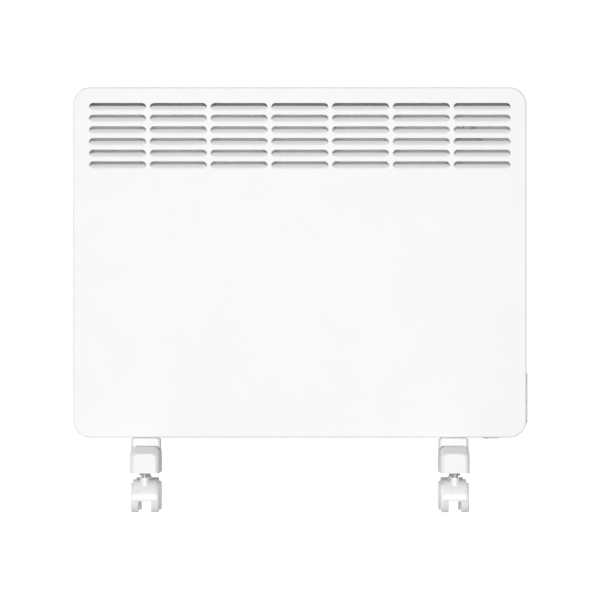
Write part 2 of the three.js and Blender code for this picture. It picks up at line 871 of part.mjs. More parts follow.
function terminalBlock() {
  const seat = rearY - seatGap;
  const block = box(around(0, terminalWidth), [seat - terminalDepth, seat], around(0, terminalTall));
  const wells = [];
  for (let pole = 0; pole < terminalPoles; pole++) {
    const x = (pole - (terminalPoles - 1) / 2) * (terminalWidth / terminalPoles);
    const reach = [seat - terminalDepth - through, seat - terminalDepth + terminalWellDepth];
    wells.push(cylinder(terminalWellRadius, 'y', ...reach, [x, 0], holeSides));
  }
  return block.subtract(joined(wells));
}

// A bush snapped into the back, with a flange outside and the cord's bore through it.
function cordGland() {
  const outside = backY + fasciaSeat;
  const profile = [
    [glandBore, rearY - glandInside],
    [glandBody, rearY - glandInside],
    [glandBody, outside],
    [glandFlange, outside],
    [glandFlange, outside + glandFlangeRim],
    [glandFlangeFace, outside + glandFlangeThickness],
    [glandBore, outside + glandFlangeThickness],
    [glandBore, rearY - glandInside],
  ];
  return lathed(profile.map(([r, y]) => [r, -y]), 'y', bossSides);
}

// ---------- feet ----------

// The bar's outer form, or the hollow inside it when it is drawn smaller by a wall.
function footForm(wall) {
  const width = footWidth - 2 * wall;
  const top = footHeight - wall;
  const radius = Math.max(footTopRadius - wall, footInnerRadius);
  const base = wall > 0 ? -wall : 0;
  const section = [
    new THREE.Vector2(width / 2, base),
    ...arc([width / 2 - radius, top - radius], radius, 0, 90, footTopSteps),
    ...arc([radius - width / 2, top - radius], radius, 90, 180, footTopSteps),
    new THREE.Vector2(-width / 2, base),
  ];
  const end = footLength / 2 - wall;
  const nose = footNoseHeight - wall;
  const side = [
    [end, base], [end, nose], [end - footNoseRun, footHeight - wall],
    [footNoseRun - end, footHeight - wall], [-end, nose], [-end, base],
  ].map(([y, z]) => new THREE.Vector2(y, z));
  const bar = extruded(section, 'y', -end, end);
  return bar.intersect(extruded(side, 'x', -footWidth, footWidth));
}

function footBar() {
  const outer = footForm(0);
  const shell = outer.subtract(footForm(footWall));
  const screwYs = [-footScrewSpacing / 2, footScrewSpacing / 2];
  const stemYs = [-swivelY, swivelY];
  const bosses = joined([
    ...screwYs.map((y) => cylinder(footScrewBoss, 'z', 0, footHeight - footWall / 2, [0, y], bossSides)),
    ...stemYs.map((y) => cylinder(stemBoss, 'z', 0, footHeight - footWall / 2, [0, y], bossSides)),
  ]).intersect(outer);
  const headRoom = footScrewHeadRadius + 2 * fitGap;
  const bores = joined([
    ...screwYs.map((y) => cylinder(headRoom, 'z', -through, footScrewSink, [0, y], bossSides)),
    ...screwYs.map((y) =>
      cylinder(footScrewRadius + screwHoleGap, 'z', -through, footHeight + through, [0, y], holeSides)),
    ...stemYs.map((y) =>
      cylinder(stemRadius + runningGap, 'z', -through, stemIntoFoot + seatGap, [0, y], pinSides)),
  ]);
  return shell.add(bosses).subtract(bores);
}

function footNeck() {
  const top = neckHeight - seatGap;
  const block = roundedRectangle(neckWidth, neckLength, neckRadius, neckSteps);
  const pad = roundedRectangle(
    neckWidth - 2 * neckRecess,
    neckLength - 2 * neckRecess,
    neckRadius - neckRecess,
    neckSteps,
  );
  const reach = [seatGap - through, top + through];
  const holes = [-1, 1].map((end) => {
    const middle = [0, (end * footScrewSpacing) / 2];
    return cylinder(footScrewRadius + screwHoleGap, 'z', ...reach, middle, holeSides);
  });
  return extruded(block, 'z', seatGap, top - neckRecessHeight)
    .add(extruded(pad, 'z', seatGap, top))
    .subtract(joined(holes));
}

function footPlate() {
  const size = [neckWidth - 2 * footPlateInset, neckLength - 2 * footPlateInset];
  const plate = box(around(0, size[0]), around(0, size[1]), [0, footPlateThickness]);
  const reach = [-through, footPlateThickness + through];
  const holes = [-1, 1].map((end) => {
    const middle = [0, (end * footScrewSpacing) / 2];
    return cylinder(footScrewRadius + runningGap, 'z', ...reach, middle, holeSides);
  });
  return plate.subtract(joined(holes));
}

// From its seat in the bar up to the plate inside the cover.
const footScrewGrip = footHeight - footScrewSink + neckHeight + coverSheet + footPlateThickness;
const footScrewReach = footScrewGrip + footScrewTip;

function footScrew() {
  const profile = [
    [0, -footScrewHeadHeight],
    [footScrewHeadFlat, -footScrewHeadHeight],
    [footScrewHeadRadius, footScrewHeadDome - footScrewHeadHeight],
    [footScrewHeadRadius, 0],
    [footScrewRadius, 0],
    [footScrewRadius, footScrewReach - screwTipChamfer],
    [footScrewRadius - screwTipChamfer, footScrewReach],
    [0, footScrewReach],
  ];
  return lathed(profile, 'z', holeSides);
}

// ---------- castors, with the swivel axis at the origin of their group ----------

function castorStem() {
  const top = castorHeight - seatGap;
  const collar = top - stemCollarThickness;
  const profile = [
    [0, castorHeight - swivelBossDrop - stemIntoBoss],
    [stemRadius, castorHeight - swivelBossDrop - stemIntoBoss],
    [stemRadius, collar],
    [stemCollar, collar],
    [stemCollar, top],
    [stemRadius, top],
    [stemRadius, castorHeight + stemIntoFoot - stemChamfer],
    [stemRadius - stemChamfer, castorHeight + stemIntoFoot],
    [0, castorHeight + stemIntoFoot],
  ];
  return lathed(profile, 'z', pinSides);
}

function castorHood() {
  const axle = [castorTrail, wheelRadius];
  const frontAngle = 180 + THREE.MathUtils.radToDeg(Math.asin(hoodFrontDrop / hoodRadius));
  const shell = extruded(
    [
      ...arc(axle, hoodRadius, hoodRearAngle, frontAngle, hoodSteps),
      ...arc(axle, hoodRadius - hoodWall, frontAngle, hoodRearAngle, hoodSteps),
    ],
    'x',
    -hoodWidth / 2,
    hoodWidth / 2,
  );
  const web = extruded(
    [
      ...arc(axle, hoodRadius - hoodWall / 2, hoodRearAngle, frontAngle, hoodSteps),
      ...arc(axle, hubRadius, 270, 360, hubSteps),
    ],
    'x',
    -webWidth / 2,
    webWidth / 2,
  );
  const bossTop = castorHeight - swivelBossDrop;
  const bossBottom = bossTop - stemIntoBoss - swivelBossFloor;
  const boss = cylinder(swivelBoss, 'z', bossBottom, bossTop, [0, 0]);
  const boreReach = [bossTop - stemIntoBoss - seatGap, bossTop + through];
  const bore = cylinder(stemRadius + runningGap, 'z', ...boreReach, [0, 0]);
  const axleBore = cylinder(axleRadius + runningGap, 'x', -webWidth, webWidth, axle);
  return joined([shell, web, boss]).subtract(bore).subtract(axleBore);
}

const axleReach = wheelGap / 2 + wheelWidth - wheelCap - seatGap;

function castorAxle() {
  const profile = [
    [0, -axleReach],
    [axleRadius - axleChamfer, -axleReach],
    [axleRadius, axleChamfer - axleReach],
    [axleRadius, axleReach - axleChamfer],
    [axleRadius - axleChamfer, axleReach],
    [0, axleReach],
  ];
  return lathed(profile, 'x', pinSides);
}

// A moulded wheel with a rounded outer edge and a blind bore. side is +1 or -1.
function castorWheel(side) {
  const inner = wheelGap / 2;
  const outer = inner + wheelWidth;
  const edge = arc([wheelRadius - wheelEdge, outer - wheelEdge], wheelEdge, 90, 0, wheelEdgeSteps);
  const profile = [
    [0, outer],
    ...edge.map((p) => [p.x, p.y]),
    [wheelRadius, inner],
    [axleRadius + runningGap, inner],
    [axleRadius + runningGap, outer - wheelCap],
    [0, outer - wheelCap],
  ];
  return lathed(profile.map(([r, x]) => [r, side * x]), 'x', wheelSides);
}

// ---------- materials ----------

function finish(color, roughness, metalness) {
  return new THREE.MeshStandardMaterial({ color, roughness, metalness });
}

const powderCoat = finish(0xf4f4f2, 0.55, 0);
const whitePlastic = finish(0xf1f1ef, 0.4, 0);
const blackPlastic = finish(0x1d1e20, 0.45, 0);
const zincSteel = finish(0xc9ccd0, 0.35, 1);
const finAluminium = finish(0xd5d7da, 0.4, 1);
const brightSteel = finish(0xb9bcc0, 0.25, 1);
const displayGlass = finish(0x2b302c, 0.1, 0);
const boardLaminate = finish(0x2e5a3a, 0.6, 0);
const terminalPlastic = finish(0xe6e2d4, 0.5, 0);

// ---------- assembly ----------

function placed(parent, name, solid, material, place = [0, 0, 0]) {
  const mesh = new THREE.Mesh(toGeometry(solid), material);
  mesh.name = name;
  mesh.position.set(...place);
  parent.add(mesh);
  return mesh;
}

function group(parent, place) {
  const child = new THREE.Group();
  child.position.set(...place);
  parent.add(child);
  return child;
}

function addCasing(heater) {
  placed(heater, 'front_cover', frontCover(), powderCoat);
  placed(heater, 'rear_panel', rearPanel(), zincSteel);
  const rows = ['top', 'bottom'];
  const columns = ['left', 'centre', 'right'];
  rearScrewPlaces.forEach(([x, z], i) => {
    const name = `rear_screw_${rows[Math.floor(i / columns.length)]}_${columns[i % columns.length]}`;
    placed(heater, name, rearScrew(), brightSteel, [x, backY + fasciaSeat, z]);
  });
  placed(heater, 'air_guide', airGuide(), zincSteel);
  placed(heater, 'terminal_block', terminalBlock(), terminalPlastic, [terminalX, 0, terminalZ]);
  placed(heater, 'cord_gland', cordGland(), blackPlastic, [glandPlace[0], 0, glandPlace[1]]);
}

function addElement(heater) {
  const middle = group(heater, [elementX, 0, elementZ]);
  placed(middle, 'heating_element', heatingElement(), finAluminium);
  placed(middle, 'element_bracket_left', elementBracket(-1), zincSteel);
  placed(middle, 'element_bracket_right', elementBracket(1), zincSteel);
  placed(middle, 'thermal_cutout', thermalCutout(), blackPlastic);
}

function addControl(heater) {
  const unit = group(heater, [insideRightX, 0, controlZ]);
  placed(unit, 'control_housing', controlHousing(), whitePlastic);
  placed(unit, 'control_board', controlBoard(), boardLaminate);
  placed(unit, 'control_fascia', controlFascia(), whitePlastic);
  placed(unit, 'display_window', displayWindow(), displayGlass);
  placed(unit, 'room_sensor', roomSensor(), blackPlastic);
  const names = ['button_menu', 'button_mode', 'button_minus', 'button_plus'];
  buttonPlaces.forEach(([y, z], i) => placed(unit, names[i], button(), whitePlastic, [0, y, z]));
}

function addMainsSwitch(heater) {
  const unit = group(heater, [switchX, switchY, coverBottom]);
  placed(unit, 'switch_housing', switchHousing(), whitePlastic);
  const rocker = placed(unit, 'mains_rocker', mainsRocker(), whitePlastic, [0, 0, pivotZ]);
  rocker.rotation.y = -tilt;
}

function addCastor(heater, name, place) {
  const castor = group(heater, place);
  placed(castor, `${name}_stem`, castorStem(), brightSteel);
  placed(castor, `${name}_hood`, castorHood(), whitePlastic);
  const axle = [0, castorTrail, wheelRadius];
  placed(castor, `${name}_axle`, castorAxle(), brightSteel, axle);
  placed(castor, `${name}_wheel_left`, castorWheel(-1), whitePlastic, axle);
  placed(castor, `${name}_wheel_right`, castorWheel(1), whitePlastic, axle);
}

function addFoot(heater, side, x) {
  const foot = group(heater, [x, 0, castorHeight]);
  placed(foot, `foot_bar_${side}`, footBar(), whitePlastic);
  placed(foot, `foot_neck_${side}`, footNeck(), whitePlastic, [0, 0, footHeight]);
  const inside = footHeight + neckHeight + coverSheet + seatGap;
  placed(foot, `foot_plate_${side}`, footPlate(), zincSteel, [0, 0, inside]);
  ['front', 'rear'].forEach((end, i) => {
    const y = (i - 0.5) * footScrewSpacing;
    const seat = [0, y, footScrewSink - seatGap];
    placed(foot, `foot_screw_${side}_${end}`, footScrew(), brightSteel, seat);
    const swivel = [x, (2 * i - 1) * swivelY, 0];
    addCastor(heater, `castor_${end}_${side}`, swivel);
  });
}

// The rear castors trail past the bars, so the middle of the whole lies behind the bars' middle.
const hoodBack = castorTrail + hoodRadius * Math.cos(THREE.MathUtils.degToRad(hoodRearAngle));
const furthestBack = swivelY + Math.max(hoodBack, castorTrail + wheelRadius);
const middleY = (furthestBack - footLength / 2) / 2;

const heater = new THREE.Group();
heater.position.y = -middleY;
addCasing(heater);
addElement(heater);
addControl(heater);
addMainsSwitch(heater);
addFoot(heater, 'left', -footX);
addFoot(heater, 'right', footX);

export default heater;
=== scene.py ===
import json
import math

import bmesh
import bpy
from mathutils import Matrix, Vector
from mathutils.geometry import tessellate_polygon


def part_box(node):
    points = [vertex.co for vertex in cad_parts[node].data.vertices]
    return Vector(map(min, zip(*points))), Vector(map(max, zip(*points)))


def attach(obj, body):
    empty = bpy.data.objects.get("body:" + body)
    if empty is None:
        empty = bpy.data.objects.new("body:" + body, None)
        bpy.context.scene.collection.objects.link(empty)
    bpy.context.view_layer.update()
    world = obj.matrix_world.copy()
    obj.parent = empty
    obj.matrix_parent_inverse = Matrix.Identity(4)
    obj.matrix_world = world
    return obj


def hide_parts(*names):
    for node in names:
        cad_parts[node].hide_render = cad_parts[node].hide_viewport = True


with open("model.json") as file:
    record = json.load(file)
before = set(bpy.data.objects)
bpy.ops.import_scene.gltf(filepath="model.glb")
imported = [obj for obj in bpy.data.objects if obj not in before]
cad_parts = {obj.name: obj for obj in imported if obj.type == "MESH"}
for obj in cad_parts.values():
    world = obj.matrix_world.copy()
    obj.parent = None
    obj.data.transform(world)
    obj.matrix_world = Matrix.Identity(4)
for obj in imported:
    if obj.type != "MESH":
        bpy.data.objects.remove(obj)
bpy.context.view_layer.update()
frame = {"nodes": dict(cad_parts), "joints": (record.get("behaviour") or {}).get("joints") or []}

# ------------------------------------------------------------------ front cover
# Front, sides, top and bottom of the casing are one sheet of 1 mm steel. It is punched and pressed
# with 7 x 6 louvres, drawn round at the front edge, folded to a flange at the back, and powder
# coated matt white. Feet, back and control unit are fixed to it.

MM = 0.001

cover_low, cover_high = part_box("front_cover")
front_y = cover_low.y
sheet = 1.0 * MM
corner_radius = 22 * MM
rim_radius = 1.8 * MM
fold_radius = 1.8 * MM
return_flange = 13 * MM
edge_support = 0.5 * MM

louvre_columns = 7
louvre_rows = 6
louvre_width = 73 * MM
louvre_height = 10.6 * MM
bay_width = 78 * MM
bay_height = 15 * MM
first_louvre_drop = 25.4 * MM
flap_rise = 6.9 * MM
flap_relief = 1 * MM
flap_section = ((0.12, 1), (0.2, 5), (0.27, 16), (0.34, 24), (0.5, 28), (0.75, 34), (1.0, 40))


def linear(code):
    """The linear colour of an sRGB hex code."""
    parts = [int(code[i:i + 2], 16) / 255 for i in (1, 3, 5)]
    return (*(c / 12.92 if c <= 0.04045 else ((c + 0.055) / 1.055) ** 2.4 for c in parts), 1.0)


def add_node(tree, kind, settings=None, links=None):
    """Adds a node. settings holds its properties and socket values, links the outputs that feed it."""
    node = tree.nodes.new(kind)
    for name, value in (settings or {}).items():
        if isinstance(name, str) and hasattr(node, name):
            setattr(node, name, value)
        else:
            node.inputs[name].default_value = value
    for name, source in (links or {}).items():
        tree.links.new(source, node.inputs[name])
    return node


def new_finish(name, colour, roughness, settings=None):
    """A material with its shader; returns both, and the node that gives Object coordinates."""
    material = bpy.data.materials.new(name)
    material.use_nodes = True
    tree = material.node_tree
    shader = tree.nodes["Principled BSDF"]
    shader.inputs["Base Color"].default_value = linear(colour)
    shader.inputs["Roughness"].default_value = roughness
    for socket, value in (settings or {}).items():
        shader.inputs[socket].default_value = value
    place = add_node(tree, "ShaderNodeTexCoord").outputs["Object"]
    return material, tree, shader, place


def vary(shader, tone=None, colours=(), grain=None, gloss=(), relief=()):
    """Lets patterns vary a finish. tone mixes its two colours. grain spreads its roughness between the
    two values of gloss, and raises its skin by relief, a strength and a height."""
    tree = shader.id_data
    if colours:
        first, second = colours
        mixed = add_node(
            tree,
            "ShaderNodeMix",
            {"data_type": "RGBA", 6: linear(first), 7: linear(second)},
            {"Factor": tone},
        )
        tree.links.new(mixed.outputs[2], shader.inputs["Base Color"])
    if gloss:
        least, most = gloss
        spread = add_node(tree, "ShaderNodeMapRange", {"To Min": least, "To Max": most}, {"Value": grain})
        tree.links.new(spread.outputs[0], shader.inputs["Roughness"])
    if relief:
        strength, height = relief
        raised = add_node(
            tree, "ShaderNodeBump", {"Strength": strength, "Distance": height}, {"Height": grain}
        )
        tree.links.new(raised.outputs[0], shader.inputs["Normal"])


def rounded_outline(low, high, radius, steps):
    """A rectangle with rounded corners, as (u, v) points."""
    middles = (
        (high[0] - radius, high[1] - radius),
        (low[0] + radius, high[1] - radius),
        (low[0] + radius, low[1] + radius),
        (high[0] - radius, low[1] + radius),
    )
    points = []
    for turn, (u, v) in enumerate(middles):
        for k in range(steps + 1):
            angle = math.pi / 2 * (turn + k / steps)
            points.append((u + radius * math.cos(angle), v + radius * math.sin(angle)))
    return points


def strip(first, second, closed=True):
    """Quads between two rows of points."""
    count = len(first)
    last = count if closed else count - 1
    return [
        [first[i], first[(i + 1) % count], second[(i + 1) % count], second[i]]
        for i in range(last)
    ]


def flat_face(outline, holes, place):
    """Triangles of a flat outline with holes. place turns (u, v) into a point."""
    loops = [[Vector((u, v, 0)) for u, v in loop] for loop in (outline, *holes)]
    points = [point for loop in loops for point in loop]
    return [[place(points[i].x, points[i].y) for i in corners] for corners in tessellate_polygon(loops)]


def finish_shape(shape, mesh, crease):
    """Writes the shape to the mesh: corners merged, faces outwards, edges above crease kept sharp."""
    bmesh.ops.remove_doubles(shape, verts=shape.verts, dist=0.002 * MM)
    bmesh.ops.recalc_face_normals(shape, faces=shape.faces)
    shape.to_mesh(mesh)
    shape.free()
    mesh.shade_smooth()
    mesh.set_sharp_from_angle(angle=math.radians(crease))
    return mesh


def mesh_of(name, faces, crease=32):
    """A mesh from loose faces."""
    shape = bmesh.new()
    for corners in faces:
        shape.faces.new([shape.verts.new(corner) for corner in corners])
    return finish_shape(shape, bpy.data.meshes.new(name), crease)


def carrier(name, mesh):
    """An object for a mesh that still gets modifiers."""
    holder = bpy.data.objects.new(name, mesh)
    bpy.context.scene.collection.objects.link(holder)
    return holder


def baked(holder, crease=32, *spent):
    """The plain mesh that the holder's modifiers make. The holder and the spent tools are removed."""
    graph = bpy.context.evaluated_depsgraph_get()
    result = bpy.data.meshes.new_from_object(holder.evaluated_get(graph))
    shape = bmesh.new()
    shape.from_mesh(result)
    finish_shape(shape, result, crease)
    for used in (holder, *spent):
        bpy.data.objects.remove(used)
    return result


def cut(mesh, tool, operation="DIFFERENCE"):
    """The mesh cut by, joined with or kept inside the tool's mesh."""
    holder = carrier("cut", mesh)
    knife = carrier("knife", tool)
    step = holder.modifiers.new("cut", "BOOLEAN")
    step.operation = operation
    step.solver = "EXACT"
    step.object = knife
    return baked(holder, 32, knife)


def fit(name, mesh, finish, body, slot, *nodes):
    """The finished piece: it rides on its body and stands for its CAD nodes."""
    piece = carrier(name, mesh)
    even = piece.modifiers.new("even", "WEIGHTED_NORMAL")
    even.keep_sharp = True
    graph = bpy.context.evaluated_depsgraph_get()
    piece.data = bpy.data.meshes.new_from_object(piece.evaluated_get(graph))
    piece.modifiers.clear()
    piece.data.materials.clear()
    piece.data.materials.append(finish)
    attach(piece, body)
    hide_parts(*nodes)
    return piece


# The bay of one louvre: the flat round a slot, its cut upper edge, and the flap that is pressed
# inwards below it and stays joined along the lower half.
def louvre_bay():
    end = louvre_height / 2
    reach = louvre_width / 2 - end
    steps = 10
    flap_free = 1

    def rim(grow):
        points = []
        for turn, side in enumerate((1, -1, -1, 1)):
            for k in range(steps + 1):
                if (turn == 2 and k == 0) or (turn == 3 and k == steps):
                    continue
                angle = math.pi / 2 * (turn + k / steps)
                radius = end + grow
                points.append((side * reach + radius * math.cos(angle), radius * math.sin(angle)))
        return points

    # The flap's section, from shares of its length and leans in degrees: upright at first, then a
    # fold, then a lean that grows up to its edge. Each entry holds height, depth and lean.
    section = [(0.0, 0.0, 0.0)]
    reached = 0
    for share, degrees in flap_section:
        lean = math.radians(degrees)
        length = share - reached
        reached = share
        height, depth, _ = section[-1]
        section.append((height + length * math.cos(lean), depth + length * math.sin(lean), lean))
    full = section[-1][0]
    flap_steps = len(flap_section)

    def flap_point(u, v, step, behind):
        fall = -v / end
        height, depth, lean = section[step]
        top = (flap_rise - end) * fall
        lean *= fall
        past_end = max(0, abs(u) - reach) / end
        return Vector((
            u - math.copysign(flap_relief * past_end * height / full, u),
            depth / full * flap_rise * fall + behind * sheet * math.cos(lean),
            v + (top - v) * height / full - behind * sheet * math.sin(lean),
        ))

    hole = rim(0)
    support = rim(edge_support)
    side, height = bay_width / 2, bay_height / 2
    corners = [(side, height), (-side, height), (-side, -height), (side, -height)]
    faces = []
    for y in (0, sheet):
        at = lambda u, v: Vector((u, y, v))
        faces += flat_face(corners, [support], at)
        faces += strip([at(*p) for p in hole], [at(*p) for p in support])
    upper = hole[-flap_free - 1:] + hole[: 2 * steps + 2 + flap_free]
    lower = hole[2 * steps + 1 + flap_free: -flap_free]
    faces += strip(
        [Vector((u, 0, v)) for u, v in upper], [Vector((u, sheet, v)) for u, v in upper], closed=False
    )
    sides = [
        [[flap_point(u, v, k, behind) for u, v in lower] for k in range(flap_steps + 1)]
        for behind in (0, 1)
    ]
    for rows in sides:
        for first, second in zip(rows, rows[1:]):
            faces += strip(first, second, closed=False)
    faces += strip(sides[0][-1], sides[1][-1], closed=False)
    for column in (0, -1):
        faces += strip(*[[row[column] for row in rows] for rows in sides], closed=False)
    return faces


# The rest of the sheet: drawn front edge, sides, fold, flange, and the plain part of the front.
def cover_surround():
    steps = 14
    rim_steps = 8
    fold_steps = 5

    def ring(inset, y):
        outline = rounded_outline(
            (cover_low.x + inset, cover_low.z + inset),
            (cover_high.x - inset, cover_high.z - inset),
            corner_radius - inset,
            steps,
        )
        return [Vector((u, y, v)) for u, v in outline]

    back_y = cover_high.y
    rings = [ring(rim_radius + edge_support, front_y)]
    for k in range(rim_steps + 1):
        angle = math.pi / 2 * k / rim_steps
        rings.append(ring(rim_radius * (1 - math.sin(angle)), front_y + rim_radius * (1 - math.cos(angle))))
    for k in range(fold_steps + 1):
        angle = math.pi / 2 * k / fold_steps
        rings.append(ring(fold_radius * (1 - math.cos(angle)), back_y - fold_radius * (1 - math.sin(angle))))
    rings.append(ring(return_flange, back_y))
    rings.append(ring(return_flange, back_y - sheet))
    inner_fold = fold_radius - sheet
    for k in range(fold_steps + 1):
        angle = math.pi / 2 * k / fold_steps
        rings.append(ring(
            fold_radius - inner_fold * math.sin(angle), back_y - fold_radius + inner_fold * math.cos(angle)
        ))
    inner_rim = rim_radius - sheet
    for k in range(rim_steps + 1):
        angle = math.pi / 2 * k / rim_steps
        rings.append(ring(
            rim_radius - inner_rim * math.cos(angle), front_y + rim_radius - inner_rim * math.sin(angle)
        ))
    rings.append(ring(rim_radius + edge_support, front_y + sheet))
    faces = []
    for first, second in zip(rings, rings[1:]):
        faces += strip(first, second)

    field_width = louvre_columns * bay_width
    field_top = cover_high.z - first_louvre_drop + bay_height / 2
    field_bottom = field_top - louvre_rows * bay_height
    across = [field_width / 2 - bay_width * k for k in range(louvre_columns + 1)]
    down = [field_top - bay_height * k for k in range(louvre_rows + 1)]
    field = [(u, field_top) for u in across]
    field += [(across[-1], v) for v in down[1:]]
    field += [(u, field_bottom) for u in reversed(across[:-1])]
    field += [(across[0], v) for v in reversed(down[1:-1])]
    outline = [(p.x, p.z) for p in rings[0]]
    for y in (front_y, front_y + sheet):
        faces += flat_face(outline, [field], lambda u, v: Vector((u, y, v)))
    return faces


def new_tree(name, taken, inputs, made):
    """A Geometry Nodes tree that turns the geometry taken into the one made. inputs holds the kind of
    each value. Returns the tree, the values' identifiers and the outputs that give them."""
    tree = bpy.data.node_groups.new(name, "GeometryNodeTree")
    sockets = {}
    for label, kind in {taken: "Geometry", **inputs}.items():
        socket = tree.interface.new_socket(name=label, in_out="INPUT", socket_type="NodeSocket" + kind)
        sockets[label] = socket.identifier
    tree.interface.new_socket(name=made, in_out="OUTPUT", socket_type="NodeSocketGeometry")
    return tree, sockets, add_node(tree, "NodeGroupInput").outputs


def louvre_field_tree(material):
    """Sets a bay at each point of a grid, joins the bays and the surround, and closes the seams."""
    tree, sockets, given = new_tree("louvre_field", "Surround", {
        "Bay": "Object",
        "Columns": "Int",
        "Rows": "Int",
        "Bay width": "Float",
        "Bay height": "Float",
        "Middle": "Vector",
        "Seam": "Float",
    }, "Cover")
    gaps_across = add_node(tree, "ShaderNodeMath", {"operation": "SUBTRACT", 1: 1.0}, {0: given["Columns"]})
    gaps_down = add_node(tree, "ShaderNodeMath", {"operation": "SUBTRACT", 1: 1.0}, {0: given["Rows"]})
    span = add_node(
        tree, "ShaderNodeMath", {"operation": "MULTIPLY"}, {0: gaps_across.outputs[0], 1: given["Bay width"]}
    )
    drop = add_node(
        tree, "ShaderNodeMath", {"operation": "MULTIPLY"}, {0: gaps_down.outputs[0], 1: given["Bay height"]}
    )
    grid = add_node(tree, "GeometryNodeMeshGrid", None, {
        "Size X": span.outputs[0],
        "Size Y": drop.outputs[0],
        "Vertices X": given["Columns"],
        "Vertices Y": given["Rows"],
    })
    upright = add_node(
        tree,
        "GeometryNodeTransform",
        {"Rotation": (math.pi / 2, 0, 0)},
        {"Geometry": grid.outputs["Mesh"], "Translation": given["Middle"]},
    )
    bay = add_node(tree, "GeometryNodeObjectInfo", None, {"Object": given["Bay"]})
    bays = add_node(tree, "GeometryNodeInstanceOnPoints", None, {
        "Points": upright.outputs[0],
        "Instance": bay.outputs["Geometry"],
    })
    real = add_node(tree, "GeometryNodeRealizeInstances", None, {"Geometry": bays.outputs[0]})
    whole = add_node(tree, "GeometryNodeJoinGeometry", None, {"Geometry": given["Surround"]})
    tree.links.new(real.outputs[0], whole.inputs["Geometry"])
    closed = add_node(tree, "GeometryNodeMergeByDistance", None, {
        "Geometry": whole.outputs[0],
        "Distance": given["Seam"],
    })
    painted = add_node(
        tree, "GeometryNodeSetMaterial", {"Material": material}, {"Geometry": closed.outputs[0]}
    )
    add_node(tree, "NodeGroupOutput", None, {"Cover": painted.outputs[0]})
    return tree, sockets


# Polyester powder coat, sprayed and baked: a faint orange peel about 1.6 mm across, drawn at its
# real size, and a satin that varies a little where the film is thicker.
powder_coat, tree, shader, place = new_finish("powder_coated_steel", "#F3F3F3", 0.42)
peel = add_node(
    tree, "ShaderNodeTexNoise", {"Scale": 1 / (1.6 * MM), "Detail": 2.0, "Roughness": 0.5}, {"Vector": place}
)
film = add_node(tree, "ShaderNodeTexNoise", {"Scale": 1 / (70 * MM), "Detail": 2.0}, {"Vector": place})
vary(
    shader, film.outputs["Fac"], ("#F4F4F4", "#F1F1F1"), peel.outputs["Fac"], (0.38, 0.5),
    (0.25, 0.02 * MM),
)


def grown(holder, tree, sockets, values, item):
    """The plain mesh that a tree makes of the holder with these values. The item is used up."""
    step = holder.modifiers.new("tree", "NODES")
    step.node_group = tree
    for label, value in values.items():
        step[sockets[label]] = value
    return baked(holder, 32, item)


bay = carrier("louvre_bay", mesh_of("louvre_bay", louvre_bay()))
cover = carrier("cover_shell", mesh_of("cover_shell", cover_surround()))
middle_z = cover_high.z - first_louvre_drop - bay_height * (louvre_rows - 1) / 2
cover_mesh = grown(cover, *louvre_field_tree(powder_coat), {
    "Bay": bay,
    "Columns": louvre_columns,
    "Rows": louvre_rows,
    "Bay width": bay_width,
    "Bay height": bay_height,
    "Middle": (0.0, front_y, middle_z),
    "Seam": 0.01 * MM,
}, bay)


# Punched air inlets in the bottom: slots with round ends, 7 along and 4 deep, between the feet.
inlet_length = 42 * MM
inlet_width = 3.6 * MM
inlet_end_radius = 1.79 * MM
inlet_pitch = (48 * MM, 11 * MM)
inlet_count = (7, 4)
casing_middle_y = (front_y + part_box("rear_panel")[1].y) / 2


def plate(outline, holes, low, high, place):
    """A flat plate with holes; place turns (u, v, w) into a point, and w runs from low to high."""
    faces = []
    for w in (low, high):
        faces += flat_face(outline, holes, lambda u, v: place(u, v, w))
    for loop in (outline, *holes):
        faces += strip([place(u, v, low) for u, v in loop], [place(u, v, high) for u, v in loop])
    return faces


def upright(u, v, w):
    return Vector((u, v, w))


def block(low, high):
    """A plain box, for cutting tools."""
    outline = [(low[0], low[1]), (high[0], low[1]), (high[0], high[1]), (low[0], high[1])]
    return plate(outline, [], low[2], high[2], upright)


def repeat_tree(name, material):
    """Sets one item at each point of the mesh, each turned by a seeded angle about the roll axis."""
    kinds = {"Item": "Object", "Roll axis": "Vector", "Most roll": "Float", "Seed": "Int"}
    tree, sockets, given = new_tree(name, "Places", kinds, "Items")
    item = add_node(tree, "GeometryNodeObjectInfo", None, {"Object": given["Item"]})
    roll = add_node(tree, "FunctionNodeRandomValue", {2: 0.0}, {3: given["Most roll"], 8: given["Seed"]})
    turn = add_node(
        tree,
        "ShaderNodeVectorMath",
        {"operation": "SCALE"},
        {0: given["Roll axis"], "Scale": roll.outputs[1]},
    )
    items = add_node(tree, "GeometryNodeInstanceOnPoints", None, {
        "Points": given["Places"],
        "Instance": item.outputs["Geometry"],
        "Rotation": turn.outputs[0],
    })
    real = add_node(tree, "GeometryNodeRealizeInstances", None, {"Geometry": items.outputs[0]})
    coated = add_node(tree, "GeometryNodeSetMaterial", {"Material": material}, {"Geometry": real.outputs[0]})
    add_node(tree, "NodeGroupOutput", None, {"Items": coated.outputs[0]})
    return tree, sockets


def repeated(name, item_mesh, places, material, axis=(0, 0, 0), most_roll=0.0, seed=0):
    """One mesh with a copy of the item at each place."""
    points = bpy.data.meshes.new(name)
    points.from_pydata(places, [], [])
    holder = carrier(name, points)
    item = carrier(name + "_item", item_mesh)
    values = {"Item": item, "Roll axis": axis, "Most roll": most_roll, "Seed": seed}
    return grown(holder, *repeat_tree(name, material), values, item)


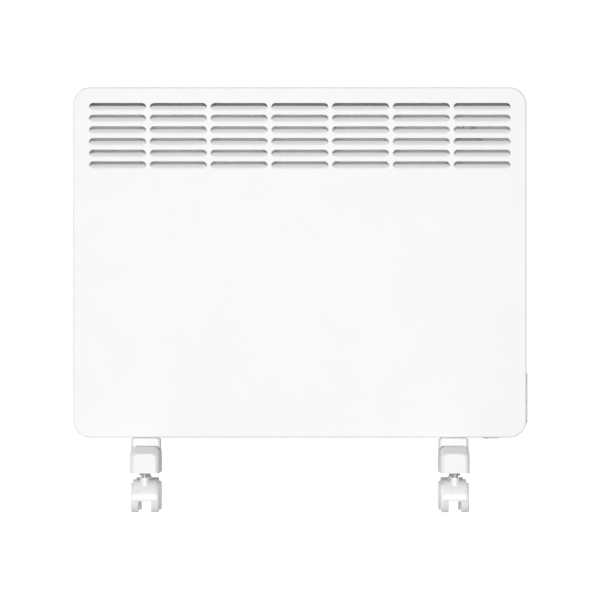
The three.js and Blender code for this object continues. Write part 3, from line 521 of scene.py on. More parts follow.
inlet_outline = rounded_outline(
    (-inlet_length / 2, -inlet_width / 2), (inlet_length / 2, inlet_width / 2), inlet_end_radius, 5
)
inlet = mesh_of("inlet", plate(inlet_outline, [], -2 * sheet, 3 * sheet, upright))
inlet_places = [
    (
        (i - (inlet_count[0] - 1) / 2) * inlet_pitch[0],
        casing_middle_y + (k - (inlet_count[1] - 1) / 2) * inlet_pitch[1],
        cover_low.z,
    )
    for k in range(inlet_count[1])
    for i in range(inlet_count[0])
]
inlets = repeated("inlets", inlet, inlet_places, powder_coat)
cover_mesh = cut(cover_mesh, inlets)

# Cut-outs for the control unit in the right side and for the mains switch in the bottom.
fascia_low, fascia_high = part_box("control_fascia")
fascia_lap = 3 * MM
bezel_low, bezel_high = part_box("switch_housing")
bezel_lap = 0.8 * MM
cut_outs = block(
    (cover_high.x - 3 * sheet, fascia_low.y + fascia_lap, fascia_low.z + fascia_lap),
    (cover_high.x + sheet, fascia_high.y - fascia_lap, fascia_high.z - fascia_lap),
)
cut_outs += block(
    (bezel_low.x + bezel_lap, bezel_low.y + bezel_lap, cover_low.z - sheet),
    (bezel_high.x - bezel_lap, bezel_high.y - bezel_lap, cover_low.z + 3 * sheet),
)
cover_mesh = cut(cover_mesh, mesh_of("cut_outs", cut_outs))
fit("cover_shell", cover_mesh, powder_coat, "heater", "cover_paint", "front_cover")

# ------------------------------------------------------------------ back
# A flat sheet of hot-dip galvanised steel closes the casing. Four hanging slots take the hooks of a
# wall bracket, and a bush in it takes the mains cord. Six screws hold it to the return flange.

panel_low, panel_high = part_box("rear_panel")
panel_radius = 20.8 * MM
hook_slot = (26 * MM, 8 * MM)
hook_slot_radius = 1.5 * MM
bush_low, bush_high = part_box("cord_gland")
bush_middle = ((bush_low.x + bush_high.x) / 2, (bush_low.z + bush_high.z) / 2)
bush_body = 7.25 * MM
panel_inset = 1.2 * MM
hook_from_side = 75 * MM
hook_from_top = 36 * MM
hook_from_bottom = 30 * MM


def circle(middle, radius, steps):
    """Points of a circle."""
    turn = 2 * math.pi / steps
    return [
        (middle[0] + radius * math.cos(turn * k), middle[1] + radius * math.sin(turn * k))
        for k in range(steps)
    ]


def softened(mesh, width, segments=3, limit=40):
    """The mesh with its edges above the limit angle rounded over width."""
    holder = carrier("softened", mesh)
    edge = holder.modifiers.new("edge", "BEVEL")
    edge.width = width
    edge.segments = segments
    edge.limit_method = "ANGLE"
    edge.angle_limit = math.radians(limit)
    edge.use_clamp_overlap = True
    return baked(holder, 40)


def facing_back(u, v, w):
    return Vector((u, w, v))


panel_holes = [circle(bush_middle, bush_body, 40)]
hook_x = panel_high.x + panel_inset - hook_from_side
for z in (cover_high.z - hook_from_top, cover_low.z + hook_from_bottom):
    for x in (-hook_x, hook_x):
        panel_holes.append(rounded_outline(
            (x - hook_slot[0] / 2, z - hook_slot[1] / 2),
            (x + hook_slot[0] / 2, z + hook_slot[1] / 2),
            hook_slot_radius,
            4,
        ))
panel_outline = rounded_outline(
    (panel_low.x, panel_low.z), (panel_high.x, panel_high.z), panel_radius, 14
)
panel = mesh_of(
    "back_sheet", plate(panel_outline, panel_holes, panel_low.y, panel_high.y, facing_back)
)

# Galvanised steel: zinc crystals 6 to 10 mm across, each with its own brightness and gloss, over
# the fine grain of the rolled sheet.
galvanised, tree, shader, place = new_finish("galvanised_sheet_steel", "#C4C8CB", 0.6, {"Metallic": 1.0})
crystals = add_node(tree, "ShaderNodeTexVoronoi", {"Scale": 1 / (8 * MM)}, {"Vector": place})
tone = add_node(tree, "ShaderNodeSeparateColor", None, {0: crystals.outputs["Color"]})
rolled = add_node(
    tree,
    "ShaderNodeTexNoise",
    {"Scale": 1 / (2 * MM), "Detail": 3.0},
    {"Vector": place},
)
vary(shader, tone.outputs[0], ("#BCC0C4", "#CFD2D5"), tone.outputs[1], (0.55, 0.66))
vary(shader, grain=rolled.outputs["Fac"], relief=(0.15, 0.02 * MM))
fit("back_sheet", panel, galvanised, "heater", "zinc_steel", "rear_panel")

# The six screws of the back: pan heads of 7.2 mm with a cross recess, zinc plated.
screw_names = [
    f"rear_screw_{row}_{side}" for row in ("top", "bottom") for side in ("left", "centre", "right")
]
screw_low, screw_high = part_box(screw_names[0])
screw_head = 3.6 * MM
screw_shank = 1.75 * MM
screw_seat = panel_high.y + 0.1 * MM
screw_top = screw_high.y - screw_seat
screw_length = screw_seat - screw_low.y


def turned(profile, steps, place):
    """A turned shape: profile holds (radius, distance along the axis), from axis to axis."""
    angles = [2 * math.pi * k / steps for k in range(steps)]
    rings = [[place(r * math.cos(a), r * math.sin(a), h) for a in angles] for r, h in profile if r > 0]
    faces = []
    for first, second in zip(rings, rings[1:]):
        faces += strip(first, second)
    for end, ring in ((profile[0], rings[0]), (profile[-1], rings[-1])):
        if end[0] == 0:
            tip = place(0, 0, end[1])
            faces += [[tip, ring[k], ring[(k + 1) % steps]] for k in range(steps)]
    if profile[0][0] > 0:
        faces += strip(rings[-1], rings[0])
    return faces


def cross(size, arm):
    """The outline of a cross: its reach from the middle and half the width of its arms."""
    return [
        (size, arm), (arm, arm), (arm, size), (-arm, size), (-arm, arm), (-size, arm),
        (-size, -arm), (-arm, -arm), (-arm, -size), (arm, -size), (arm, -arm), (size, -arm),
    ]


def cross_recess(size, depth, place):
    """The tapering cross that a driver turns, as a cutting tool."""
    arm_share = 0.28
    foot_share = 0.55
    outline = cross(size, size * arm_share)
    top = [place(u, v, depth) for u, v in outline]
    foot = [place(u * foot_share, v * foot_share, -depth) for u, v in outline]
    return strip(foot, top) + [list(reversed(foot)), top]


dome_share = 0.6
dome_steps = 7
dome = [
    (screw_head * math.cos(a), screw_top * (0.4 + dome_share * math.sin(a)))
    for a in (math.pi / 2 * k / dome_steps for k in range(dome_steps))
]
screw_profile = [
    (0, -screw_length),
    (0.7 * MM, -screw_length),
    (screw_shank, 2.6 * MM - screw_length),
    (screw_shank, 0),
    (screw_head * 0.97, 0),
    *dome,
    (0, screw_top),
]
screw = mesh_of("rear_screw", turned(screw_profile, 28, facing_back))
recess = mesh_of("recess", cross_recess(
    1.9 * MM, 1.3 * MM, lambda u, v, w: facing_back(u, v, w + screw_top)
))
screw = cut(screw, recess)

# Bright zinc plate on turned steel: near mirror, with cloudy spots where the plating is duller.
zinc_plate, tree, shader, place = new_finish("zinc_plated_steel", "#C2C5C8", 0.24, {"Metallic": 1.0})
cloud = add_node(tree, "ShaderNodeTexNoise", {"Scale": 1 / (3 * MM), "Detail": 3.0}, {"Vector": place})
vary(shader, cloud.outputs["Fac"], ("#B4B8BC", "#CFD2D4"), cloud.outputs["Fac"], (0.16, 0.38))

screw_places = []
for name in screw_names:
    low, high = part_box(name)
    screw_places.append(((low.x + high.x) / 2, screw_seat, (low.z + high.z) / 2))
screws = repeated("back_screws", screw, screw_places, zinc_plate, (0, 1, 0), math.pi / 2, 7)
fit("back_screws", screws, zinc_plate, "heater", "bright_steel", *screw_names)

# The cord's bush: a moulded black ring with a flange outside, snapped into the sheet. No cord
# shows, so its bore is left open.
bush_profile = [
    (3.6 * MM, bush_low.y),
    (6.4 * MM, bush_low.y),
    (7.0 * MM, bush_low.y + 0.8 * MM),
    (7.0 * MM, screw_seat),
    (9.6 * MM, screw_seat),
    (10.0 * MM, screw_seat + 0.4 * MM),
    (10.0 * MM, screw_seat + 1.2 * MM),
    (9.4 * MM, screw_seat + 1.9 * MM),
    (8.4 * MM, bush_high.y),
    (4.8 * MM, bush_high.y),
    (3.9 * MM, bush_high.y - 0.5 * MM),
    (3.6 * MM, bush_high.y - 1.2 * MM),
]
bush = mesh_of("cord_bush", turned(
    bush_profile, 48, lambda u, v, w: facing_back(u + bush_middle[0], v + bush_middle[1], w)
))

# Black polyamide, injection moulded against a spark-eroded tool: satin, with a fine pebbled skin.
black_moulded, tree, shader, place = new_finish("black_moulded_polyamide", "#1B1C1E", 0.46)
pebble = add_node(tree, "ShaderNodeTexNoise", {"Scale": 1 / (0.5 * MM), "Detail": 2.0}, {"Vector": place})
vary(
    shader, pebble.outputs["Fac"], ("#17181A", "#202124"), pebble.outputs["Fac"], relief=(0.3, 0.02 * MM)
)
fit("cord_bush", bush, black_moulded, "heater", "black_plastic", "cord_gland")

# ------------------------------------------------------------------ air guide
# A bent sheet of aluminised steel behind the louvres turns the rising air forwards, and shows
# through them. It stops short of both sides, and has punched holes near its right end.


def dress(finish, *nodes):
    """Gives CAD nodes that keep their own shape a finish."""
    for node in nodes:
        mesh = frame["nodes"][node].data
        mesh.materials.clear()
        mesh.materials.append(finish)


# Hot-dip aluminised steel: a dull silver skin without crystals, clouded over some 12 mm, with a fine
# grain about 1.5 mm across. Its oxide bloom scatters part of the light, so it isn't fully metallic.
aluminised, tree, shader, place = new_finish("aluminised_sheet_steel", "#E3E5E7", 0.68, {"Metallic": 0.7})
cloud = add_node(tree, "ShaderNodeTexNoise", {"Scale": 1 / (12 * MM), "Detail": 3.0}, {"Vector": place})
grain = add_node(tree, "ShaderNodeTexNoise", {"Scale": 1 / (1.5 * MM), "Detail": 2.0}, {"Vector": place})
vary(shader, cloud.outputs["Fac"], ("#DDDFE1", "#E9EBEC"), grain.outputs["Fac"], (0.62, 0.74))
dress(aluminised, "air_guide")

# ------------------------------------------------------------------ heating element
# A sheathed steel tube carries 28 thin aluminium fins, each pressed on by its own collar. Two
# galvanised brackets hold it across the casing, and a thermal cut-out sits on the right one.

element_low, element_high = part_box("heating_element")
element_middle = (element_low + element_high) / 2
fin_count = 28
fin_pitch = 16 * MM
fin_size = (42 * MM, 60 * MM)
fin_sheet = 0.8 * MM
tube_radius = 4.25 * MM


def facing_side(u, v, w):
    return Vector((w, u, v))


fin_outline = rounded_outline(
    (-fin_size[0] / 2, -fin_size[1] / 2), (fin_size[0] / 2, fin_size[1] / 2), 2.5 * MM, 3
)
collar_radius = 5.2 * MM
fin_faces = plate(
    fin_outline, [list(circle((0, 0), tube_radius, 20))], -fin_sheet / 2, fin_sheet / 2, facing_side
)
collar_profile = [
    (tube_radius, 0.2 * MM),
    (collar_radius + 0.8 * MM, 0.2 * MM),
    (collar_radius, 1.2 * MM),
    (collar_radius, 4 * MM),
    (tube_radius, 4 * MM),
]
fin = mesh_of("fin", fin_faces)
collar = mesh_of("collar", turned(collar_profile, 20, facing_side))
fin_first = element_middle.x - (fin_count - 1) / 2 * fin_pitch
fin_places = [(fin_first + k * fin_pitch, element_middle.y, element_middle.z) for k in range(fin_count)]

# Bare aluminium strip: pale, softly reflecting, with fine rolling lines up and down the fin.
bare_aluminium, tree, shader, place = new_finish(
    "rolled_aluminium_strip", "#D2D4D6", 0.34, {"Metallic": 1.0}
)
lines = add_node(tree, "ShaderNodeMapping", {"Scale": (1.0, 12.0, 1.0)}, {"Vector": place})
rolled = add_node(
    tree, "ShaderNodeTexNoise", {"Scale": 1 / (4 * MM), "Detail": 4.0}, {"Vector": lines.outputs[0]}
)
vary(shader, rolled.outputs["Fac"], ("#C6C9CC", "#DCDEE0"), rolled.outputs["Fac"], (0.26, 0.44))
fins = repeated("element_fins", fin, fin_places, bare_aluminium)
fit("element_fins", fins, bare_aluminium, "heater", "fin_aluminium", "heating_element")
collars = repeated("element_collars", collar, fin_places, bare_aluminium)
fit("element_collars", collars, bare_aluminium, "heater", "fin_aluminium", "heating_element")

reach = (element_high.x - element_low.x) / 2
tube_profile = [
    (0, -reach),
    (1.5 * MM, -reach),
    (1.5 * MM, 8 * MM - reach),
    (3.2 * MM, 8 * MM - reach),
    (3.2 * MM, 11 * MM - reach),
    (4.0 * MM, 11 * MM - reach),
    (tube_radius, 11.3 * MM - reach),
]
tube_profile += [(r, -h) for r, h in reversed(tube_profile)]
tube = mesh_of("element_tube", turned(
    tube_profile, 32, lambda u, v, w: facing_side(u, v, w) + element_middle
))

# Stainless sheath, darkened to straw and grey by its first firings, in bands along the tube.
sheath_steel, tree, shader, place = new_finish("fired_stainless_sheath", "#8F8A84", 0.38, {"Metallic": 1.0})
firing = add_node(tree, "ShaderNodeTexNoise", {"Scale": 1 / (30 * MM), "Detail": 3.0}, {"Vector": place})
vary(shader, firing.outputs["Fac"], ("#7A7673", "#A89B86"), firing.outputs["Fac"], (0.3, 0.5))
fit("element_tube", tube, sheath_steel, "heater", "bright_steel", "heating_element")
dress(galvanised, "element_bracket_left", "element_bracket_right")
dress(black_moulded, "thermal_cutout")

# ------------------------------------------------------------------ mains terminals
# A cream heat-resistant block with three poles, screwed to the back inside, above the cord's bush.

# Urea moulding powder, pressed: dull cream with darker specks about 0.8 mm across.
cream_moulded, tree, shader, place = new_finish("pressed_urea_moulding", "#E6E1D2", 0.5)
speck = add_node(tree, "ShaderNodeTexNoise", {"Scale": 1 / (0.8 * MM), "Detail": 1.0}, {"Vector": place})
vary(shader, speck.outputs["Fac"], ("#DDD6C3", "#EAE6DA"))
dress(cream_moulded, "terminal_block")

# ------------------------------------------------------------------ control unit
# A moulded housing fills a cut-out low in the right side. Its fascia lies on the sheet and holds the
# display's window and four push buttons; the board behind carries the display and the key switches.

unit_front = fascia_high.x
fascia_plate = 1.7 * MM
fascia_radius = 3 * MM
fit_gap = 0.25 * MM
key_rim = 1.25 * MM
window_low, window_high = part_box("display_window")
key_names = ["button_menu", "button_mode", "button_minus", "button_plus"]


def opening(node, grow, radius):
    """The outline, seen from the right, of what shows of a key or the window."""
    low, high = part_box(node)
    return rounded_outline(
        (low.y + key_rim - grow, low.z + key_rim - grow),
        (high.y - key_rim + grow, high.z - key_rim + grow),
        radius,
        4,
    )


fascia_outline = rounded_outline(
    (fascia_low.y, fascia_low.z), (fascia_high.y, fascia_high.z), fascia_radius, 8
)
fascia_holes = [opening("display_window", fit_gap, 1.0 * MM)]
fascia_holes += [opening(name, fit_gap, 1.2 * MM) for name in key_names]
fascia = mesh_of(
    "fascia", plate(fascia_outline, fascia_holes, unit_front - fascia_plate, unit_front, facing_side)
)
fascia = softened(fascia, 0.45 * MM, 4)

# White ABS, injection moulded against a finely eroded tool: satin, with a skin of about 0.4 mm grain,
# drawn at 0.6 mm so that it shows.
white_abs, tree, shader, place = new_finish("white_moulded_abs", "#F1F1F2", 0.4)
skin = add_node(tree, "ShaderNodeTexNoise", {"Scale": 1 / (0.6 * MM), "Detail": 2.0}, {"Vector": place})
flow = add_node(tree, "ShaderNodeTexNoise", {"Scale": 1 / (35 * MM), "Detail": 2.0}, {"Vector": place})
vary(
    shader, flow.outputs["Fac"], ("#F3F3F4", "#EFEFEF"), skin.outputs["Fac"], (0.34, 0.48),
    (0.25, 0.015 * MM),
)
fit("control_face", fascia, white_abs, "heater", "white_plastic", "control_fascia")
plug_rim = fascia_lap + 0.3 * MM
plug_wall = 1.6 * MM


def plug_outline(inset, radius):
    """The plug's outline, drawn in from the fascia's."""
    return rounded_outline(
        (fascia_low.y + inset, fascia_low.z + inset),
        (fascia_high.y - inset, fascia_high.z - inset),
        radius,
        4,
    )


plug_outer = plug_outline(plug_rim, 1.5 * MM)
plug_inner = plug_outline(plug_rim + plug_wall, 0.5 * MM)
plug = mesh_of("plug", plate(plug_outer, [plug_inner], fascia_low.x, unit_front - 1.5 * MM, facing_side))
fit("control_face_plug", plug, white_abs, "heater", "white_plastic", "control_fascia")
dress(white_abs, "control_housing")

# The board: green solder mask over copper tracks that show as a lighter net about 3 mm apart.
solder_mask, tree, shader, place = new_finish("green_solder_mask", "#2B5A3B", 0.35, {"Coat Weight": 0.4})
tracks = add_node(
    tree,
    "ShaderNodeTexVoronoi",
    {"feature": "DISTANCE_TO_EDGE", "distance": "MANHATTAN", "Scale": 1 / (3 * MM)},
    {"Vector": place},
)
track = add_node(
    tree, "ShaderNodeMapRange", {"From Min": 0.03, "From Max": 0.08}, {"Value": tracks.outputs["Distance"]}
)
vary(shader, track.outputs[0], ("#4A7F4F", "#24523A"))
dress(solder_mask, "control_board")
dress(black_moulded, "room_sensor")

# The window: clear acrylic with rounded edges, held from behind by its lip. Behind it lies a grey
# liquid crystal display that shows a room temperature.
window = plate(opening("display_window", 0, 0.8 * MM), [], window_low.x, window_high.x, facing_side)
window = softened(mesh_of("window", window), 0.25 * MM, 3)
clear_acrylic, tree, shader, place = new_finish(
    "clear_moulded_acrylic", "#F4F6F5", 0.06, {"Transmission Weight": 1.0, "IOR": 1.49}
)
smear = add_node(tree, "ShaderNodeTexNoise", {"Scale": 1 / (9 * MM), "Detail": 3.0}, {"Vector": place})
vary(shader, grain=smear.outputs["Fac"], gloss=(0.02, 0.1))
fit("display_pane", window, clear_acrylic, "heater", "display_glass", "display_window")

crystal_back = window_low.x - 0.25 * MM
crystal_front = window_low.x - 0.12 * MM
crystal_rim = key_rim + 1.0 * MM
crystal = mesh_of("crystal", plate(
    rounded_outline(
        (window_low.y + crystal_rim, window_low.z + crystal_rim),
        (window_high.y - crystal_rim, window_high.z - crystal_rim),
        0.4 * MM,
        3,
    ),
    [],
    crystal_back,
    crystal_front,
    facing_side,
))
# Reflective liquid crystal: grey-green, with the faint grid of its pixels' wiring, drawn at 0.9 mm.
crystal_glass, tree, shader, place = new_finish("reflective_crystal_display", "#A9B3A2", 0.3)
wiring = add_node(tree, "ShaderNodeTexWave", {"bands_direction": "Z", "Scale": 0.35 / MM}, {"Vector": place})
vary(shader, wiring.outputs["Fac"], ("#A3AD9C", "#AFB8A9"))
fit("display_crystal", crystal, crystal_glass, "heater", "display_glass")

digit_height = 11 * MM
digit_width = 5.6 * MM
digit_stroke = 1.3 * MM
digit_gap = 0.15
digit_relief = 0.05 * MM
lit = {"2": "abged", "1": "bc", "0": "abcdef"}


def seven_segments(character, left, foot):
    """The lit bars of one digit as thin plates."""
    ends = {
        "a": ((0, 1), (1, 1)), "b": ((1, 0.5), (1, 1)), "c": ((1, 0), (1, 0.5)), "d": ((0, 0), (1, 0)),
        "e": ((0, 0), (0, 0.5)), "f": ((0, 0.5), (0, 1)), "g": ((0, 0.5), (1, 0.5)),
    }
    faces = []
    for bar in lit[character]:
        (u0, v0), (u1, v1) = [(left + u * digit_width, foot + v * digit_height) for u, v in ends[bar]]
        along = Vector((u1 - u0, v1 - v0)).normalized()
        side = Vector((-along.y, along.x)) * digit_stroke / 2
        start = Vector((u0, v0)) + along * digit_stroke * digit_gap
        stop = Vector((u1, v1)) - along * digit_stroke * digit_gap
        tip = along * digit_stroke / 2
        ends_cut = [start + tip + side, stop - tip + side, stop, stop - tip - side, start + tip - side]
        outline = [tuple(corner) for corner in (start, *ends_cut)]
        faces += plate(outline, [], crystal_front, crystal_front + digit_relief, facing_side)
    return faces


digit_foot = (window_low.z + window_high.z) / 2 - digit_height / 2
digit_left = window_low.y + 5.5 * MM
digits = seven_segments("2", digit_left, digit_foot)
digits += seven_segments("1", digit_left + 8.4 * MM, digit_foot)
digits += seven_segments("0", digit_left + 18.6 * MM, digit_foot)
point = circle((digit_left + 16.3 * MM, digit_foot + 0.2 * MM), 0.8 * MM, 12)
digits += plate(point, [], crystal_front, crystal_front + digit_relief, facing_side)
degree_middle = (digit_left + 27.4 * MM, digit_foot + digit_height - 0.8 * MM)
digits += plate(
    circle(degree_middle, 1.4 * MM, 20), [circle(degree_middle, 0.8 * MM, 20)],
    crystal_front, crystal_front + digit_relief, facing_side,
)
# The lit crystal: near black, slightly uneven.
lit_crystal, tree, shader, place = new_finish("lit_crystal_segments", "#23282A", 0.35)
mottle = add_node(tree, "ShaderNodeTexNoise", {"Scale": 1 / (1 * MM)}, {"Vector": place})
vary(shader, grain=mottle.outputs["Fac"], gloss=(0.3, 0.45))
fit("display_digits", mesh_of("digits", digits), lit_crystal, "heater", "display_glass")

# The four keys: white caps with rounded edges and a printed grey sign: bars, ring, minus and plus.
sign_height = 0.05 * MM
sign_root = 0.1 * MM


def bar(middle, size, low, high):
    """A printed stroke with slightly rounded ends."""
    outline = rounded_outline(
        (middle[0] - size[0] / 2, middle[1] - size[1] / 2),
        (middle[0] + size[0] / 2, middle[1] + size[1] / 2),
        0.2 * MM,
        2,
    )
    return plate(outline, [], low, high, facing_side)


def key_sign(name, middle, low, high):
    """The printed sign of a key, as a thin plate."""
    y, z = middle
    if name == "button_menu":
        return [f for k in (-1, 0, 1) for f in bar((y, z + k * 1.4 * MM), (4.2 * MM, 0.6 * MM), low, high)]
    if name == "button_mode":
        return plate(circle(middle, 2.0 * MM, 28), [circle(middle, 1.45 * MM, 28)], low, high, facing_side)
    stroke = bar(middle, (4.0 * MM, 0.7 * MM), low, high)
    if name == "button_minus":
        return stroke
    return plate([(y + u, z + v) for u, v in cross(2.0 * MM, 0.35 * MM)], [], low, high, facing_side)


# Grey pad-printing ink: flat, a little thinner in places.
sign_ink, tree, shader, place = new_finish("grey_pad_print", "#6E7275", 0.6)
cover_of_ink = add_node(tree, "ShaderNodeTexNoise", {"Scale": 1 / (0.7 * MM)}, {"Vector": place})
vary(shader, cover_of_ink.outputs["Fac"], ("#64686B", "#7A7E81"))
for name in key_names:
    low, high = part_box(name)
    top = high.x - sign_height
    cap = mesh_of(name, plate(opening(name, 0, 1.0 * MM), [], low.x, top, facing_side))
    cap = softened(cap, 0.4 * MM, 4)
    fit(name + "_cap", cap, white_abs, name, "white_plastic", name)
    middle = ((low.y + high.y) / 2, (low.z + high.z) / 2)
    sign = mesh_of(name + "_sign", key_sign(name, middle, top - sign_root, high.x))
    fit(name + "_sign", sign, sign_ink, name, "white_plastic", name)

# ------------------------------------------------------------------ mains switch
# A white snap-in rocker switch in the bottom, near the right end. Its housing has three tabs inside;
# the rocker tips 16 degrees about its pivot and rests tipped to the left.

dress(white_abs, "switch_housing")
rocker_joint = next(j for j in frame["joints"] if j["name"] == "mains_rocker_hinge")
pivot = Vector(rocker_joint["pos_m"])
rocker_width = 15.8 * MM
rocker_depth = 10 * MM
rocker_tilt = math.radians(8)
rocker_middle = 4.5 * MM
rocker_dish = 0.4 * MM
half = rocker_width / 2


def on_rocker(u, v, w):
    """A point drawn about the pivot with the rocker level: u to the right, v up, w to the back."""
    return pivot + Vector((
        u * math.cos(rocker_tilt) - v * math.sin(rocker_tilt),
        w,
        u * math.sin(rocker_tilt) + v * math.cos(rocker_tilt),
    ))


def dished(u):
    return -rocker_middle - rocker_dish * (u / half) ** 2


face = [(half * k / 8, dished(half * k / 8)) for k in range(-8, 9)]
rocker_outline = face + [
    (half, -1.5 * MM), (half / 2, 2.2 * MM), (-half / 2, 2.2 * MM), (-half, -1.5 * MM),
]
rocker = mesh_of("rocker", plate(rocker_outline, [], -rocker_depth / 2, rocker_depth / 2, on_rocker))
rocker = softened(rocker, 0.5 * MM, 3)
fit("switch_rocker", rocker, white_abs, "mains_rocker", "white_plastic", "mains_rocker")
trunnion_low, trunnion_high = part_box("mains_rocker")
trunnion_profile = [
    (0, trunnion_low.y - pivot.y),
    (1.2 * MM, trunnion_low.y - pivot.y),
    (1.2 * MM, trunnion_high.y - pivot.y),
    (0, trunnion_high.y - pivot.y),
]
trunnion = mesh_of("trunnion", turned(trunnion_profile, 24, on_rocker))
fit("switch_trunnion", trunnion, white_abs, "mains_rocker", "white_plastic", "mains_rocker")

# Its on and off signs, a bar and a ring in grey ink.
def on_face(u, v, w):
    """A point of a sign: u across, w along the rocker's width, v above its dished face."""
    return on_rocker(u, dished(u) - v, w)


ink_film = 0.03 * MM
ring_middle = (4.2 * MM, 0)
ring_sign = (circle(ring_middle, 1.7 * MM, 24), [circle(ring_middle, 1.15 * MM, 24)])
bar_sign = (rounded_outline((-4.5 * MM, -1.7 * MM), (-3.9 * MM, 1.7 * MM), 0.2 * MM, 2), [])
signs = []
for outline, holes in (ring_sign, bar_sign):
    signs += plate(outline, holes, -sign_root, ink_film, lambda u, v, w: on_face(u, w, v))
fit("switch_signs", mesh_of("signs", signs), sign_ink, "mains_rocker", "white_plastic", "mains_rocker")

# ------------------------------------------------------------------ feet
# Each foot is a hollow bar, injection moulded in white polypropylene, with a nose at either end. A
# neck on it carries the casing, and two M6 screws go up through both into a threaded steel plate.

foot_nose = (25 * MM, 20 * MM)
foot_height = 34 * MM
foot_wall = 2.6 * MM
foot_top_radius = 7.5 * MM
foot_corner = 5.5 * MM
foot_blend = 2.6 * MM
foot_edge = 1.4 * MM
foot_sides = ("left", "right")


def bar_form(low, high, wall):
    """The bar's outer form, or the hollow in it when a wall is given."""
    corner_steps, blend_steps, top_steps = 6, 4, 8
    x = (low.x + high.x) / 2
    radius = foot_top_radius - wall
    corner_radius = foot_corner - wall
    base = -wall if wall else 0
    nose, run = foot_nose
    slope = Vector((run, foot_height - nose)).normalized()
    corner = Vector((run, foot_height))
    start, stop = corner - slope * foot_blend, corner + Vector((foot_blend, 0))
    stations = []
    for k in range(corner_steps + 1):
        angle = math.pi / 2 * k / corner_steps
        d = corner_radius * (1 - math.cos(angle))
        stations.append((d, nose + d * slope.y / slope.x, corner_radius * (1 - math.sin(angle))))
    for k in range(blend_steps + 1):
        t = k / blend_steps
        d, h = start * (1 - t) ** 2 + corner * 2 * t * (1 - t) + stop * t ** 2
        stations.append((d, h, 0))
    sections = [(low.y + wall + d, h - wall, drawn_in) for d, h, drawn_in in stations]
    sections += [(high.y - wall - d, h - wall, drawn_in) for d, h, drawn_in in reversed(stations)]
    rings = []
    for y, top, drawn_in in sections:
        half = (high.x - low.x) / 2 - wall - drawn_in
        ring = [Vector((x + half, y, low.z + base))]
        for side in (1, -1):
            for k in range(top_steps + 1):
                angle = math.pi / 2 * (k / top_steps if side > 0 else 1 - k / top_steps)
                ring.append(Vector((
                    x + side * (half - radius + radius * math.cos(angle)),
                    y,
                    low.z + top - radius + radius * math.sin(angle),
                )))
        ring.append(Vector((x - half, y, low.z + base)))
        rings.append(ring)
    faces = [rings[0], rings[-1]]
    for first, second in zip(rings, rings[1:]):
        faces += strip(first, second)
    return faces


def pin(x, y, radius, low, high, steps=32):
    """An upright round tool."""
    profile = [(0, low), (radius, low), (radius, high), (0, high)]
    return turned(profile, steps, lambda u, v, w: Vector((x + u, y + v, w)))


screw_post = 9 * MM
screw_head_bore = 6 * MM
screw_head_depth = 20 * MM
screw_bore = 3.2 * MM
stem_post = 8.5 * MM
stem_bore = 4 * MM
stem_depth = 20.3 * MM
rib_place = 60 * MM
rib_sheet = 1.8 * MM
rib_lift = 8 * MM


def foot_bar(side):
    """A foot bar: hollow below, with posts for its screws and stems, their bores, and two ribs."""
    low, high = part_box(f"foot_bar_{side}")
    x = (low.x + high.x) / 2
    screw_ys, stem_ys = [], []
    for end in ("front", "rear"):
        a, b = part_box(f"foot_screw_{side}_{end}")
        screw_ys.append((a.y + b.y) / 2)
        a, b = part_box(f"castor_{end}_{side}_stem")
        stem_ys.append((a.y + b.y) / 2)
    outer = softened(mesh_of("bar", bar_form(low, high, 0)), foot_edge, 4)
    hollow = mesh_of("hollow", bar_form(low, high, foot_wall))
    post_below, post_above = low.z - 9 * MM, low.z + 60 * MM
    posts = []
    for y in screw_ys:
        posts += pin(x, y, screw_post, post_below, post_above)
    for y in stem_ys:
        posts += pin(x, y, stem_post, post_below, post_above)
    for y in (low.y + rib_place, high.y - rib_place):
        posts += block(
            (low.x - MM, y - rib_sheet / 2, low.z + rib_lift), (high.x + MM, y + rib_sheet / 2, high.z + MM)
        )
    hollow = cut(hollow, mesh_of("posts", posts))
    bore_below, bore_above = low.z - 5 * MM, high.z + 5 * MM
    bores = []
    for y in screw_ys:
        bores += pin(x, y, screw_head_bore, bore_below, low.z + screw_head_depth)
        bores += pin(x, y, screw_bore, low.z + screw_head_depth + MM, bore_above)
    for y in stem_ys:
        bores += pin(x, y, stem_bore, bore_below, low.z + stem_depth)
    return cut(cut(outer, hollow), mesh_of("bores", bores))


# White polypropylene from a lightly eroded mould: satin, grain drawn at 0.7 mm, and long soft clouds
# where the melt flowed, a shade apart.
white_pp, tree, shader, place = new_finish("white_moulded_polypropylene", "#F0F0F2", 0.42)
skin = add_node(tree, "ShaderNodeTexNoise", {"Scale": 1 / (0.7 * MM), "Detail": 2.0}, {"Vector": place})
flow = add_node(tree, "ShaderNodeTexNoise", {"Scale": 1 / (50 * MM), "Detail": 2.0}, {"Vector": place})
vary(
    shader, flow.outputs["Fac"], ("#F1F1F3", "#EDEDEF"), skin.outputs["Fac"], (0.36, 0.5),
    (0.25, 0.015 * MM),
)

neck_radius = 4 * MM
neck_recess = (2.4 * MM, 1.3 * MM)
neck_core = 6 * MM
neck_groove = 0.7 * MM
neck_skirt = 5.5 * MM
core_seat = 0.05 * MM


def neck_part(name, side, inset, radius, steps, bottom, top):
    """An upright piece of the neck, its outline drawn in by the inset."""
    low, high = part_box(f"foot_neck_{side}")
    outline = rounded_outline(
        (low.x + inset, low.y + inset), (high.x - inset, high.y - inset), radius, steps
    )
    return mesh_of(name, plate(outline, [], bottom, top, upright))


